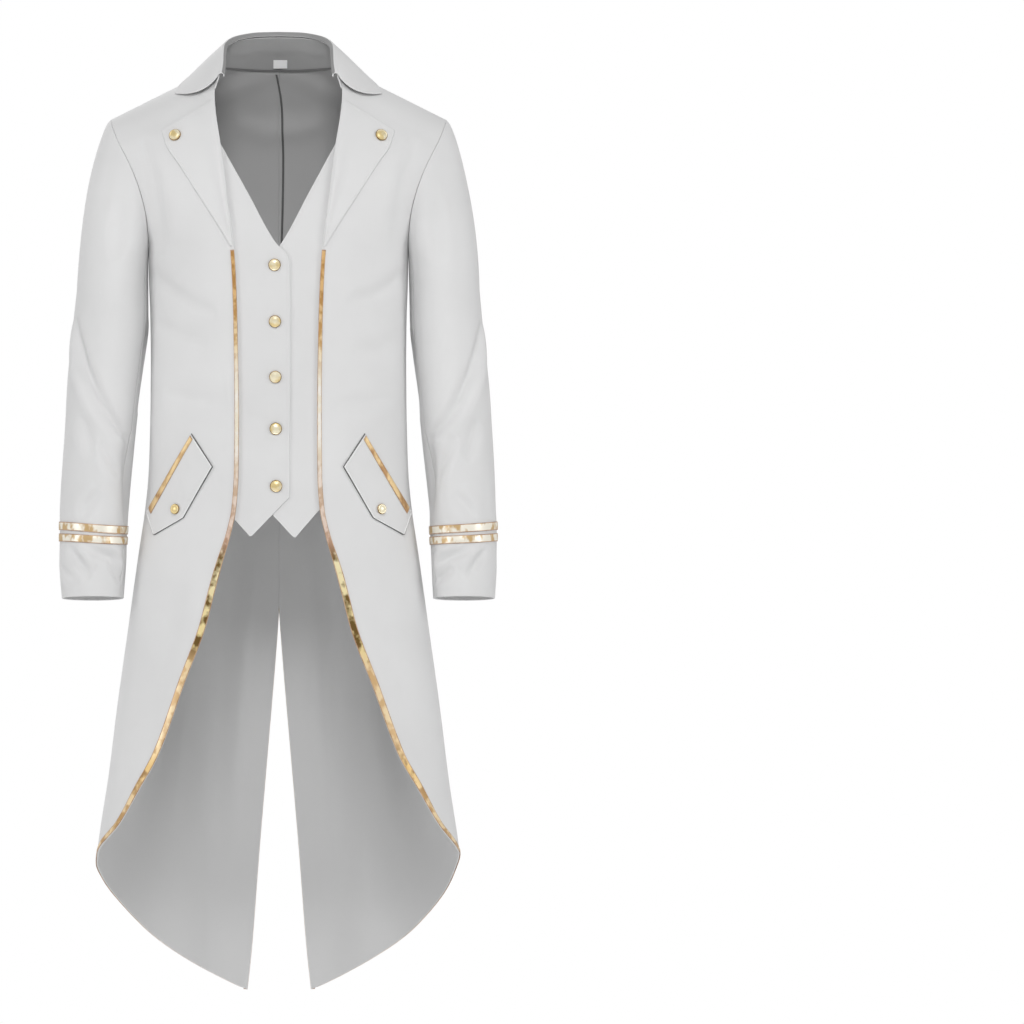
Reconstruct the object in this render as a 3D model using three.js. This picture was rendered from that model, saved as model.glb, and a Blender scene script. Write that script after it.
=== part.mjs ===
import * as THREE from "three";

// A tailcoat with a waistcoat front sewn into it, filled out as on a wearer.
// Millimetres. +Z is up, the front faces -Y, and the wearer's left is +X.
// The origin is the middle of the neck base, between the shoulders.

// Driving sizes.
const CLOTH = 1.8;
const VEST_CLOTH = 1.4;
const TRIM = 0.8;
const SEAM_GAP = 0.3;
const REST_GAP = 0.7;
const LAPEL_GAP = 1;
const EDGING_GAP = 0.75;
const SHOULDER_LEVEL = 70;
const BACK_NECK_LEVEL = 27;
const NECK_HALF = 80;
const UNDERARM = -215;
const SKIRT_TOP = -600;
const SIDE_HEM = -991;
const SLEEVE_START = -260;
const BUTTON = 16;
const SMALL_BUTTON = 13.5;
const CUFF_BUTTON = 14.5;

const COLOUR = { cloth: 0xdcdcdc, gold: 0xd9b45c, label: 0xf2f2f0 };

// Columns of a wall mesh, from a front or back edge round to the side.
const PANEL_COLUMNS = 9;

// A table holds named columns and is read by its first one.
function table(columns, rows) {
  return { columns, rows };
}

function read(source, column, key) {
  const c = source.columns.indexOf(column);
  const rows = source.rows;
  const up = rows[rows.length - 1][0] > rows[0][0];
  const sign = up ? 1 : -1;
  let i = 0;
  while (i < rows.length - 2 && sign * key > sign * rows[i + 1][0]) i += 1;
  const slope = (j) => (rows[j + 1][c] - rows[j][c]) / (rows[j + 1][0] - rows[j][0]);
  const tangent = (j) => {
    if (j === 0) return slope(0);
    if (j === rows.length - 1) return slope(j - 1);
    const a = slope(j - 1);
    const b = slope(j);
    return a * b <= 0 ? 0 : (2 * a * b) / (a + b);
  };
  const width = rows[i + 1][0] - rows[i][0];
  const s = Math.min(1, Math.max(0, (key - rows[i][0]) / width));
  const s2 = s * s;
  const s3 = s2 * s;
  return (
    (2 * s3 - 3 * s2 + 1) * rows[i][c] +
    (s3 - 2 * s2 + s) * width * tangent(i) +
    (3 * s2 - 2 * s3) * rows[i + 1][c] +
    (s3 - s2) * width * tangent(i + 1)
  );
}

// The same, straight from row to row, as the walls below the underarm run.
function readStraight(source, column, key) {
  const c = source.columns.indexOf(column);
  const rows = source.rows;
  const sign = rows[rows.length - 1][0] > rows[0][0] ? 1 : -1;
  let i = 0;
  while (i < rows.length - 2 && sign * key > sign * rows[i + 1][0]) i += 1;
  const f = Math.min(1, Math.max(0, (key - rows[i][0]) / (rows[i + 1][0] - rows[i][0])));
  return rows[i][c] + (rows[i + 1][c] - rows[i][c]) * f;
}

// Sections of the body. Above the underarm a section droops towards the
// shoulder by its slope, and ends at the armhole.
const BODY = table(["level", "half", "front", "back", "slope", "power", "armFront", "armBack"], [
  [70, 262, 0, 0, 0.5, 2.4, 218, 218],
  [66, 260.5, 14.5, 21, 0.498, 2.4, 217.2, 217.2],
  [60, 259, 26, 35, 0.492, 2.4, 216, 216],
  [51, 256.5, 38, 48, 0.481, 2.4, 214, 214],
  [40, 253.5, 48, 57, 0.466, 2.4, 211.5, 211.5],
  [27, 250, 57, 64.5, 0.445, 2.4, 208.5, 209],
  [5, 243.5, 70.5, 79, 0.403, 2.4, 203, 204],
  [-25, 233, 83, 93, 0.34, 2.4, 195.5, 197.5],
  [-65, 218, 95, 105, 0.25, 2.4, 186.5, 189],
  [-105, 201.5, 102.5, 111, 0.165, 2.4, 178.5, 182],
  [-140, 188.5, 107, 114, 0.095, 2.4, 173, 177],
  [-170, 178.8, 110, 115.5, 0.045, 2.4, 170, 172.8],
  [-192, 172.5, 111.5, 116, 0.015, 2.4, 168.9, 170.2],
  [-206, 169.6, 112, 115.7, 0.004, 2.4, 168.95, 169.1],
  [-215, 169.1, 112, 115.5, 0, 2.4, 169.1, 169.1],
  [-250, 168.3, 111, 113, 0, 2.35, 0, 0],
  [-300, 166.5, 108, 108, 0, 2.3, 0, 0],
  [-350, 166, 104, 101, 0, 2.3, 0, 0],
  [-404, 166.3, 100, 95, 0, 2.3, 0, 0],
  [-455, 167.3, 101, 99, 0, 2.3, 0, 0],
  [-500, 169, 103, 106, 0, 2.3, 0, 0],
  [-550, 174, 105, 114, 0, 2.3, 0, 0],
  [-600, 181.5, 108, 121, 0, 2.3, 0, 0],
  [-700, 195.5, 114, 129, 0, 2.35, 0, 0],
  [-800, 209.5, 120, 134, 0, 2.4, 0, 0],
  [-900, 222, 125, 138, 0, 2.45, 0, 0],
  [-991, 235.5, 128, 141, 0, 2.5, 0, 0],
  [-1171, 252, 130, 146, 0, 2.6, 0, 0],
]);

// The inner edge of a coat front: the lapel's roll line, the straight
// front edge, then the cutaway that runs back to the side.
const FRONT_EDGE = table(["z", "x"], [
  [30, 80],
  [22, 81.5],
  [-3, 83],
  [-20, 82],
  [-70, 75],
  [-143, 66],
  [-204, 57.5],
  [-250, 54.5],
  [-312, 52.5],
  [-429, 51],
  [-500, 51.5],
  [-545, 54.5],
  [-580, 62],
  [-611, 71],
  [-656, 83],
  [-701, 94.5],
  [-771, 121],
  [-868, 158],
  [-906, 180],
  [-954, 208.5],
  [-983, 231],
  [-991, 235.1],
]);

// Half the opening of the back slit at each height.
const SLIT = table(["z", "gap"], [
  [-600, 0.15],
  [-669, 0.15],
  [-690, 1.2],
  [-728, 4],
  [-858, 15],
  [-988, 26],
  [-1118, 36],
  [-1171, 41.6],
]);

// The tail hem by the angle from the side towards the centre back.
const TAIL_HEM = table(["angle", "z"], [
  [0, -991],
  [17.5, -1018],
  [31, -1045],
  [43.5, -1079],
  [52, -1096],
  [63, -1123],
  [75, -1146],
  [84.5, -1171],
  [90, -1183],
]);

// Rings of a sleeve below the shoulder.
const SLEEVE = table(["z", "outer", "inner", "mid", "deep"], [
  [-260, 262, 169.4, 4, 66],
  [-300, 266, 169.8, 6, 63],
  [-345, 270.5, 174.5, 7, 60],
  [-390, 274.5, 180, 6, 58],
  [-435, 277.3, 184.5, 4, 56],
  [-480, 280.5, 188.5, 0, 54.5],
  [-525, 283, 192.5, -6, 52.5],
  [-570, 284, 196.5, -11, 50],
  [-615, 284, 198.5, -16, 48.5],
  [-661, 281.5, 201, -21, 46],
]);

// Stations of the collar, each on a vertex of the neck edge: the fold at
// its top, and the lower edge of the part that falls over.
const COLLAR = table(
  ["station", "level", "side", "foldX", "foldY", "foldZ", "hemX", "hemY", "hemZ"],
  [
    [0, 27, 1, 0, 57, 75, 0, 70, 27],
    [1, 40, 1, 26.5, 54, 74.3, 33, 67, 27],
    [2, 51, 1, 44, 46.5, 72, 60, 58, 26.5],
    [3, 60, 1, 57.5, 33.5, 68.5, 82, 44, 25],
    [4, 66, 1, 65.5, 20, 64, 99, 29, 22],
    [5, 70, 1, 70.5, 2, 57.5, 113, 12, 17],
    [6, 66, -1, 71.5, -12, 48.5, 123, -2, 12],
    [7, 60, -1, 72, -25, 36, 131, -14, 4.5],
    [8, 51, -1, 74, -38.5, 21, 135, -26, -3.5],
    [9, 40, -1, 79.5, -48, 7, 0, 0, 0],
  ],
);

const UPPER_LEVELS = BODY.rows.map((row) => row[0]).filter((level) => level >= UNDERARM).reverse();
const WAIST_LEVELS = [-600, -550, -500, -455, -404, -350, -300, -250];
const SKIRT_SHARES = [1, 0.98, 0.95, 0.9, 0.82, 0.73, 0.62, 0.5, 0.38, 0.25, 0.12];
const SKIRT_ROWS = SKIRT_SHARES.length;
const SLEEVE_COLUMNS = 2 * (UPPER_LEVELS.length - 1);
const FAN_ROWS = 5;

const radians = (degrees) => (degrees * Math.PI) / 180;
const mix = (a, b, f) => a + (b - a) * f;
const point = (x, y, z) => new THREE.Vector3(x, y, z);
const away = (p, n, d) => p.clone().addScaledVector(n, d);

function readBody(column, level) {
  return level > UNDERARM ? read(BODY, column, level) : readStraight(BODY, column, level);
}

// A point of the body at an angle from the side, 90 degrees at the centre.
// side is -1 for the front and 1 for the back.
function bodyPoint(side, angle, level, height) {
  const power = readBody("power", level);
  const x = readBody("half", level) * Math.pow(Math.max(0, Math.cos(radians(angle))), 2 / power);
  const depth = readBody(side < 0 ? "front" : "back", level);
  const y = side * depth * Math.pow(Math.max(0, Math.sin(radians(angle))), 2 / power);
  const z = height === undefined ? level - readBody("slope", level) * x : height;
  return point(x, y, z);
}

function angleAt(level, x) {
  const ratio = Math.min(1, Math.abs(x) / readBody("half", level));
  return (Math.acos(Math.pow(ratio, readBody("power", level) / 2)) * 180) / Math.PI;
}

function frontEdgeX(level) {
  let x = 60;
  for (let i = 0; i < 12; i += 1) {
    x = read(FRONT_EDGE, "x", level - readBody("slope", level) * x);
  }
  return x;
}

function neckX(level) {
  const rise = (level - BACK_NECK_LEVEL) / (SHOULDER_LEVEL - BACK_NECK_LEVEL);
  return level <= BACK_NECK_LEVEL ? 0.15 : NECK_HALF * Math.pow(rise, 0.85);
}

// Rows from the hem up: the skirt, the waist, then the part with armholes.
function bodyRows() {
  const rows = [];
  SKIRT_SHARES.forEach((share) => rows.push({ part: "skirt", share }));
  WAIST_LEVELS.forEach((level) => rows.push({ part: "waist", level }));
  UPPER_LEVELS.forEach((level) => rows.push({ part: "upper", level }));
  return rows;
}

const ROWS = bodyRows();
const UNDERARM_ROW = ROWS.findIndex((row) => row.level === UNDERARM);

function frontGrid() {
  const grid = [];
  for (let i = 0; i <= PANEL_COLUMNS; i += 1) {
    const f = i / PANEL_COLUMNS;
    grid.push(
      ROWS.map((row) => {
        const level = row.part === "skirt" ? mix(SKIRT_TOP, SIDE_HEM, row.share) : row.level;
        const edge = row.part === "upper" ? frontEdgeX(level) : read(FRONT_EDGE, "x", level);
        const inner = angleAt(level, edge);
        const outer = row.part === "upper" ? angleAt(level, readBody("armFront", level)) : 0;
        return bodyPoint(-1, mix(inner, outer, f), level);
      }),
    );
  }
  return grid;
}

function backGrid() {
  const grid = [];
  for (let i = 0; i <= PANEL_COLUMNS; i += 1) {
    const f = i / PANEL_COLUMNS;
    grid.push(
      ROWS.map((row) => {
        if (row.part === "skirt") {
          const edge = mix(SKIRT_TOP, -1171, row.share);
          const angle = mix(angleAt(edge, read(SLIT, "gap", edge)), 0, f);
          const z = mix(SKIRT_TOP, read(TAIL_HEM, "z", angle), row.share);
          return bodyPoint(1, angle, z);
        }
        const inner = angleAt(row.level, row.part === "upper" ? neckX(row.level) : 0.15);
        const outer = row.part === "upper" ? angleAt(row.level, readBody("armBack", row.level)) : 0;
        return bodyPoint(1, mix(inner, outer, f), row.level);
      }),
    );
  }
  return grid;
}

// Normals of a grid of points, area-weighted. wrap joins the last column
// to the first.
function normals(grid, wrap) {
  const columns = grid.length;
  const rows = grid[0].length;
  const out = grid.map((column) => column.map(() => point(0, 0, 0)));
  const last = wrap ? columns : columns - 1;
  for (let i = 0; i < last; i += 1) {
    const k = (i + 1) % columns;
    for (let j = 0; j < rows - 1; j += 1) {
      const a = grid[k][j + 1].clone().sub(grid[i][j]);
      const b = grid[i][j + 1].clone().sub(grid[k][j]);
      const n = a.cross(b);
      [out[i][j], out[k][j], out[i][j + 1], out[k][j + 1]].forEach((v) => v.add(n));
    }
  }
  return out;
}

function orient(grid, field, centre) {
  grid.forEach((column, i) =>
    column.forEach((p, j) => {
      field[i][j].normalize();
      if (field[i][j].dot(p.clone().sub(centre(p))) < 0) field[i][j].negate();
    }),
  );
  return field;
}

const front = frontGrid();
const back = backGrid();
const bodyCentre = (p) => point(p.x * 0.5, 0, Math.min(p.z, -20));
const frontOut = orient(front, normals(front, false), bodyCentre);
const backOut = orient(back, normals(back, false), bodyCentre);

function share(a, b) {
  const sum = a.clone().add(b).normalize();
  a.copy(sum);
  b.copy(sum);
}

// The walls meet in one mitre at the side seam, on the shoulder and at the
// centre back.
for (let j = 0; j <= UNDERARM_ROW; j += 1) {
  share(frontOut[PANEL_COLUMNS][j], backOut[PANEL_COLUMNS][j]);
}
for (let i = 0; i <= PANEL_COLUMNS; i += 1) {
  share(frontOut[i][ROWS.length - 1], backOut[i][ROWS.length - 1]);
}
backOut[0].forEach((n, j) => {
  const seamed = ROWS[j].part === "waist" || (ROWS[j].level ?? 99) <= BACK_NECK_LEVEL;
  if (seamed) n.setX(0).normalize();
});

// The ring of the armhole, from the shoulder down the front to the
// underarm and up the back.
function armholeRing() {
  const top = ROWS.length - 1;
  const ring = [];
  for (let j = top; j >= UNDERARM_ROW; j -= 1) {
    ring.push({ p: front[PANEL_COLUMNS][j], n: frontOut[PANEL_COLUMNS][j] });
  }
  for (let j = UNDERARM_ROW + 1; j < top; j += 1) {
    ring.push({ p: back[PANEL_COLUMNS][j], n: backOut[PANEL_COLUMNS][j] });
  }
  return ring;
}

function sleevePoint(turn, z) {
  const outer = readStraight(SLEEVE, "outer", z);
  const inner = readStraight(SLEEVE, "inner", z);
  const x = (outer + inner) / 2 + ((outer - inner) / 2) * Math.cos(turn);
  return point(x, readStraight(SLEEVE, "mid", z) - readStraight(SLEEVE, "deep", z) * Math.sin(turn), z);
}

const turnOf = (column) => (column * 2 * Math.PI) / SLEEVE_COLUMNS;

// The cuff edge lies a little higher at the front than at the back.
const hemLift = (turn, z) => 3 * Math.sin(turn) * Math.max(0, (-615 - z) / 46);

function sleeveGrid(ring) {
  return ring.map((start, column) => {
    const turn = turnOf(column);
    const end = sleevePoint(turn, SLEEVE_START);
    const rows = [];
    for (let i = 0; i < FAN_ROWS; i += 1) {
      const f = i / FAN_ROWS;
      const p = start.p.clone().lerp(end, f);
      const swell = 9 * Math.sin(Math.PI * Math.pow(f, 0.6)) * Math.pow((1 + Math.cos(turn)) / 2, 1.2);
      p.x += swell;
      p.z += 0.35 * swell;
      rows.push(p);
    }
    SLEEVE.rows.forEach((row) => {
      const p = sleevePoint(turn, row[0]);
      p.z += hemLift(turn, row[0]);
      rows.push(p);
    });
    return rows;
  });
}

const ring = armholeRing();
const sleeve = sleeveGrid(ring);
const sleeveCentre = (p) => {
  if (p.z > UNDERARM) return point(205, 0, -190);
  const middle = (readStraight(SLEEVE, "outer", p.z) + readStraight(SLEEVE, "inner", p.z)) / 2;
  return point(middle, 0, p.z);
};
const sleeveOut = orient(sleeve, normals(sleeve, true), sleeveCentre);

// At the top of the armhole the two walls meet in one mitre, and at the
// underarm each keeps its own face.
ring.forEach((start, k) => {
  const down = sleeve[k][1].clone().sub(sleeve[k][0]).normalize();
  if (start.n.dot(down) < 0.05) share(start.n, sleeveOut[k][0]);
  const shift = down.addScaledVector(start.n, 0.8).normalize();
  sleeve[k][0] = away(start.p, shift, 0.6);
});

// A closed wall between two grids of the same size.
function wall(outer, inner, wrap) {
  const columns = outer.length;
  const rows = outer[0].length;
  const positions = [];
  [outer, inner].forEach((grid) => {
    grid.forEach((column) => column.forEach((p) => positions.push(p.x, p.y, p.z)));
  });
  const at = (layer, i, j) => layer * columns * rows + (i % columns) * rows + j;
  const index = [];
  const quad = (a, b, c, d) => index.push(a, b, c, a, c, d);
  const last = wrap ? columns : columns - 1;
  for (let i = 0; i < last; i += 1) {
    for (let j = 0; j < rows - 1; j += 1) {
      quad(at(0, i, j), at(0, i + 1, j), at(0, i + 1, j + 1), at(0, i, j + 1));
      quad(at(1, i, j + 1), at(1, i + 1, j + 1), at(1, i + 1, j), at(1, i, j));
    }
    quad(at(1, i, 0), at(1, i + 1, 0), at(0, i + 1, 0), at(0, i, 0));
    quad(at(0, i, rows - 1), at(0, i + 1, rows - 1), at(1, i + 1, rows - 1), at(1, i, rows - 1));
  }
  if (!wrap) {
    const end = columns - 1;
    for (let j = 0; j < rows - 1; j += 1) {
      quad(at(0, 0, j), at(0, 0, j + 1), at(1, 0, j + 1), at(1, 0, j));
      quad(at(1, end, j), at(1, end, j + 1), at(0, end, j + 1), at(0, end, j));
    }
  }
  return faced(positions, index);
}

// Faces are turned to point outwards.
function faced(positions, index) {
  const v = (k) => point(positions[3 * k], positions[3 * k + 1], positions[3 * k + 2]);
  let volume = 0;
  for (let i = 0; i < index.length; i += 3) {
    volume += v(index[i]).dot(v(index[i + 1]).cross(v(index[i + 2])));
  }
  if (volume < 0) {
    for (let i = 0; i < index.length; i += 3) [index[i + 1], index[i + 2]] = [index[i + 2], index[i + 1]];
  }
  const geometry = new THREE.BufferGeometry();
  geometry.setAttribute("position", new THREE.Float32BufferAttribute(positions, 3));
  geometry.setIndex(index);
  geometry.computeVertexNormals();
  return geometry;
}

const mirrorGrid = (grid) => grid.map((column) => column.map((p) => point(-p.x, p.y, p.z)));

function offsetGrid(grid, field, d) {
  return grid.map((column, i) => column.map((p, j) => away(p, field[i][j], d)));
}

const group = new THREE.Group();
const FINISH = {
  cloth: new THREE.MeshStandardMaterial({ color: COLOUR.cloth, roughness: 0.8, metalness: 0 }),
  gold: new THREE.MeshStandardMaterial({ color: COLOUR.gold, roughness: 0.35, metalness: 0.9 }),
  label: new THREE.MeshStandardMaterial({ color: COLOUR.label, roughness: 0.7, metalness: 0 }),
};

function add(name, geometry, finish) {
  const mesh = new THREE.Mesh(geometry, FINISH[finish]);
  mesh.name = name;
  group.add(mesh);
}

// Both sides of a pair: +X is the wearer's left.
function addPair(name, outer, inner, finish, wrap) {
  add(name + "_left", wall(outer, inner, wrap), finish);
  add(name + "_right", wall(mirrorGrid(outer), mirrorGrid(inner), wrap), finish);
}

// Moves one edge of a wall a little into the piece.
function inset(outer, inner, edge, d) {
  const lastColumn = outer.length - 1;
  const lastRow = outer[0].length - 1;
  const step = (grid, i, j, k, l) => {
    const way = grid[k][l].clone().sub(grid[i][j]).normalize();
    grid[i][j] = away(grid[i][j], way, d);
  };
  [outer, inner].forEach((grid) => {
    if (edge === "last") grid[0].forEach((_, j) => step(grid, lastColumn, j, lastColumn - 1, j));
    if (edge === "first") grid[0].forEach((_, j) => step(grid, 0, j, 1, j));
    if (edge === "top") grid.forEach((_, i) => step(grid, i, lastRow, i, lastRow - 1));
    if (edge === "bottom") grid.forEach((_, i) => step(grid, i, 0, i, 1));
  });
}

function bodyPanel(name, grid, field) {
  const outer = grid.map((column) => column.map((p) => p.clone()));
  const inner = offsetGrid(grid, field, -CLOTH);
  [outer, inner].forEach((layer) => {
    const side = layer[PANEL_COLUMNS];
    for (let j = 0; j <= UNDERARM_ROW; j += 1) {
      const way = layer[PANEL_COLUMNS - 1][j].clone().sub(side[j]).normalize();
      side[j] = away(side[j], way, SEAM_GAP / 2);
    }
  });
  inset(outer, inner, "top", SEAM_GAP / 2 + 0.05);
  addPair(name, outer, inner, "cloth", false);
}

bodyPanel("front", front, frontOut);
bodyPanel("back", back, backOut);

// Sleeves in two pieces, cut at the seam inside the forearm and at the one
// behind the elbow.
const FOREARM_SEAM = 12;
const HIND_SEAM = 18;

function sleevePart(name, columns) {
  const outer = columns.map((k) => sleeve[k % SLEEVE_COLUMNS].map((p) => p.clone()));
  const inner = columns.map((k) =>
    sleeve[k % SLEEVE_COLUMNS].map((p, j) => away(p, sleeveOut[k % SLEEVE_COLUMNS][j], -CLOTH)),
  );
  inset(outer, inner, "first", SEAM_GAP / 2);
  inset(outer, inner, "last", SEAM_GAP / 2);
  addPair(name, outer, inner, "cloth", false);
}

const underColumns = [];
for (let k = FOREARM_SEAM; k <= HIND_SEAM; k += 1) underColumns.push(k);
const topColumns = [];
for (let k = HIND_SEAM; k <= FOREARM_SEAM + SLEEVE_COLUMNS; k += 1) topColumns.push(k);
sleevePart("sleeve_top", topColumns);
sleevePart("sleeve_under", underColumns);

// A point on the front or back at a width and a height, moved out along
// its normal. It keeps the sign of x.
function onBody(side, x, z, out) {
  const sign = x < 0 ? -1 : 1;
  const w = Math.abs(x);
  let level = z;
  for (let i = 0; i < 24; i += 1) level = z + readBody("slope", level) * w;
  const angle = Math.min(89.6, angleAt(level, w));
  const at = (a, l) => bodyPoint(side, a, l);
  const along = at(Math.min(89.9, angle + 0.3), level).sub(at(Math.max(0.05, angle - 0.3), level));
  const upward = at(angle, Math.min(69.6, level + 1)).sub(at(angle, level - 1));
  const n = along.cross(upward).normalize();
  if (n.y * side < 0) n.negate();
  if (w < 3) n.setX((n.x * w) / 3).normalize();
  const p = bodyPoint(side, angleAt(level, w), level);
  p.addScaledVector(n, out);
  p.x *= sign;
  n.x *= sign;
  return { p, n };
}

// A wall laid over the body from a map of (across, along) to width and
// height, between two distances from it.
function laid(side, columns, rows, place, low, high) {
  const grids = [high, low].map((out) => {
    const grid = [];
    for (let i = 0; i <= columns; i += 1) {
      const column = [];
      for (let j = 0; j <= rows; j += 1) {
        const [x, z, lift] = place(i / columns, j / rows);
        column.push(onBody(side, x, z, out + (lift ?? 0)).p);
      }
      grid.push(column);
    }
    return grid;
  });
  return grids;
}

// Lapels: turned-back fronts with a blunt point, from the break up to the neck.
const LAPEL_EDGE = table(["share", "x", "z"], [
  [0, 61.5, -203],
  [0.1, 68, -192],
  [0.55, 107, -131],
  [0.8, 131, -94],
  [0.9, 144, -75],
  [1, 151, -54],
]);
const LAPEL_ROLL = table(["share", "x", "z"], [
  [0, 58.6, -204],
  [0.33, 65.4, -143],
  [0.7, 74.4, -70],
  [0.92, 81.6, -24],
  [1, 82.4, -12],
]);

function lapelPlace(across, along) {
  const roll = [read(LAPEL_ROLL, "x", along), read(LAPEL_ROLL, "z", along)];
  const edge = [read(LAPEL_EDGE, "x", along), read(LAPEL_EDGE, "z", along)];
  return [mix(roll[0], edge[0], across), mix(roll[1], edge[1], across)];
}

const [lapelOuter, lapelInner] = laid(-1, 6, 9, lapelPlace, LAPEL_GAP, LAPEL_GAP + CLOTH);
addPair("lapel", lapelOuter, lapelInner, "cloth", false);

// Gold edging of a panel edge: it follows the edge and turns in by a width.
function edging(grid, field, picks, widthAt) {
  const outer = [[], []];
  const inner = [[], []];
  picks.forEach(([i, j, k, l], count) => {
    const p = grid[i][j];
    const way = grid[k][l].clone().sub(p).normalize();
    const far = away(p, way, widthAt(count / (picks.length - 1)));
    [p, far].forEach((q, side) => {
      outer[side].push(away(q, field[i][j], EDGING_GAP + TRIM));
      inner[side].push(away(q, field[i][j], EDGING_GAP));
    });
  });
  return [outer, inner];
}

const breakRow = ROWS.findIndex((row) => row.level === -192) - 1;
const frontPicks = [];
for (let j = 0; j <= breakRow; j += 1) frontPicks.push([0, j, 1, j]);
const frontTrimWidth = (f) => mix(4, 6.5, Math.min(1, 1.6 * f));
addPair("front_trim", ...edging(front, frontOut, frontPicks, frontTrimWidth), "gold");

const hemPicks = [];
for (let i = 0; i <= PANEL_COLUMNS; i += 1) hemPicks.push([i, 0, i, 1]);
addPair("hem_trim", ...edging(back, backOut, hemPicks.slice(1), () => 5), "gold");

const slitRow = SKIRT_ROWS - 1;
const slitPicks = [];
for (let j = 0; j <= slitRow; j += 1) slitPicks.push([0, j, 1, j]);
addPair("slit_trim", ...edging(back, backOut, slitPicks, (f) => mix(5, 9, f)), "gold");

// Waistcoat fronts under the coat: the wearer's right laps over the left.
const VEST_EDGE = table(["z", "over", "under", "outer"], [
  [-10, -108, 108, 152],
  [-70, -75, 74.8, 146],
  [-135, -38.6, 39.5, 136],
  [-200, -2.2, 4, 130],
  [-216, 13, -9, 129],
  [-235, 15.6, -20, 128],
  [-273, 16, -28, 126],
  [-400, 15.6, -29, 120],
  [-480, 15, -29, 116],
  [-560, 15, -29, 114],
]);
const VEST_HEM = table(["share", "over", "under", "zOver", "zUnder"], [
  [0, 15, -29, -529, -529],
  [0.38, -35.7, 21.5, -581.5, -583],
  [0.55, -56, 54, -559, -546],
  [1, -114, 114, -540, -532],
]);
const VEST_LEVELS = [-455, -404, -350, -300, -250, -216, -192, -165, -135, -100, -65, -36, -12];
const VEST_HEM_Z = -480;

// The waistcoat's rows: three for the pointed hem, then its levels.
function vestColumn(over, across) {
  const side = over ? -1 : 1;
  const edge = over ? "over" : "under";
  const lift = (x) => {
    const f = Math.min(1, Math.max(0, (x - 15) / 30));
    return over ? 0 : -2.1 * (1 - f * f * (3 - 2 * f));
  };
  const width = (z) => mix(read(VEST_EDGE, edge, z), side * read(VEST_EDGE, "outer", z), across);
  const hemX = read(VEST_HEM, edge, across);
  const hemZ = read(VEST_HEM, over ? "zOver" : "zUnder", across);
  const rows = [0, 0.5, 1].map((f) => [mix(hemX, width(VEST_HEM_Z), f), mix(hemZ, VEST_HEM_Z, f)]);
  VEST_LEVELS.forEach((z) => {
    const x = width(z);
    const drop = z > -60 ? (0.45 * (Math.abs(x) - 108) * (z + 60)) / 50 : 0;
    rows.push([x, z - drop]);
  });
  return rows.map(([x, z]) => [x, z, lift(x)]);
}

function vestPlace(over) {
  const rows = VEST_LEVELS.length + 2;
  return (across, along) => vestColumn(over, across)[Math.round(along * rows)];
}

const VEST_TOP = -CLOTH - REST_GAP;
const VEST_LOW = VEST_TOP - VEST_CLOTH;
const vestRows = VEST_LEVELS.length + 2;
const [overOuter, overInner] = laid(-1, 6, vestRows, vestPlace(true), VEST_LOW, VEST_TOP);
add("vest_front_right", wall(overOuter, overInner, false), "cloth");
const [underOuter, underInner] = laid(-1, 6, vestRows, vestPlace(false), VEST_LOW, VEST_TOP);
add("vest_front_left", wall(underOuter, underInner, false), "cloth");

// Collar: the stand rises from the neck edge, and the fall turns over its
// top and ends in a point on each shoulder.
function collarStation(station) {
  const level = read(COLLAR, "level", station);
  const side = station > 5 ? -1 : 1;
  const grid = side > 0 ? back : front;
  const field = side > 0 ? backOut : frontOut;
  const row = ROWS.findIndex((r) => r.level === level);
  const seat = away(grid[0][row], field[0][row], 0.55);
  if (station === 0) seat.x = 0;
  const get = (name) => read(COLLAR, name, station);
  return {
    seat,
    fold: point(get("foldX"), get("foldY"), get("foldZ")),
    hem: point(get("hemX"), get("hemY"), get("hemZ")),
  };
}

function collarColumns(count) {
  const half = [];
  for (let s = 0; s < count; s += 1) half.push(collarStation(s));
  const mirrored = half.slice(1).reverse().map((c) => {
    const flip = (p) => point(-p.x, p.y, p.z);
    return { seat: flip(c.seat), fold: flip(c.fold), hem: flip(c.hem) };
  });
  return mirrored.concat(half);
}

const neckCentre = (p) => point(0, -8, p.z - 6);
const standOuter = collarColumns(10).map(({ seat, fold }) => {
  const rise = fold.clone().sub(seat).normalize();
  const top = away(fold, rise, fold.y < -5 ? -5 : -3.2);
  return [seat, seat.clone().lerp(top, 0.34), seat.clone().lerp(top, 0.67), top];
});
const standOut = orient(standOuter, normals(standOuter, false), neckCentre);
add("collar_stand", wall(standOuter, offsetGrid(standOuter, standOut, -CLOTH), false), "cloth");

const fallOuter = collarColumns(9).map(({ fold, hem }) => {
  const outward = point(hem.x - fold.x, hem.y - fold.y, 0).normalize();
  const lip = away(fold, outward, -2);
  const brow = away(fold, outward, 3.4).add(point(0, 0, -0.6));
  const column = [lip, brow];
  [0.25, 0.5, 0.75, 1].forEach((f) => {
    const p = brow.clone().lerp(hem, f);
    const bulge = Math.sin(Math.PI * f);
    column.push(away(p, outward, 2.2 * bulge).add(point(0, 0, 1.6 * bulge)));
  });
  return column;
});
const underCollar = (p) => point(p.x * 0.8, p.y * 0.8 - 4, p.z - 40);
const fallOut = orient(fallOuter, normals(fallOuter, false), underCollar);
add("collar_fall", wall(fallOuter, offsetGrid(fallOuter, fallOut, -CLOTH), false), "cloth");

// A bare label inside the stand.
const label = new THREE.BoxGeometry(18, 0.8, 11);
label.rotateX(0.17);
label.translate(2, 58.6, 34);
add("neck_label", label, "label");

// Pocket flaps on a slant, each with gold piping along its sewn edge.
const FLAP = {
  top: [112.5, -448],
  inner: [85, -490],
  low: [123, -556],
  tip: [161.5, -578],
  end: [170.5, -549],
};

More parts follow.
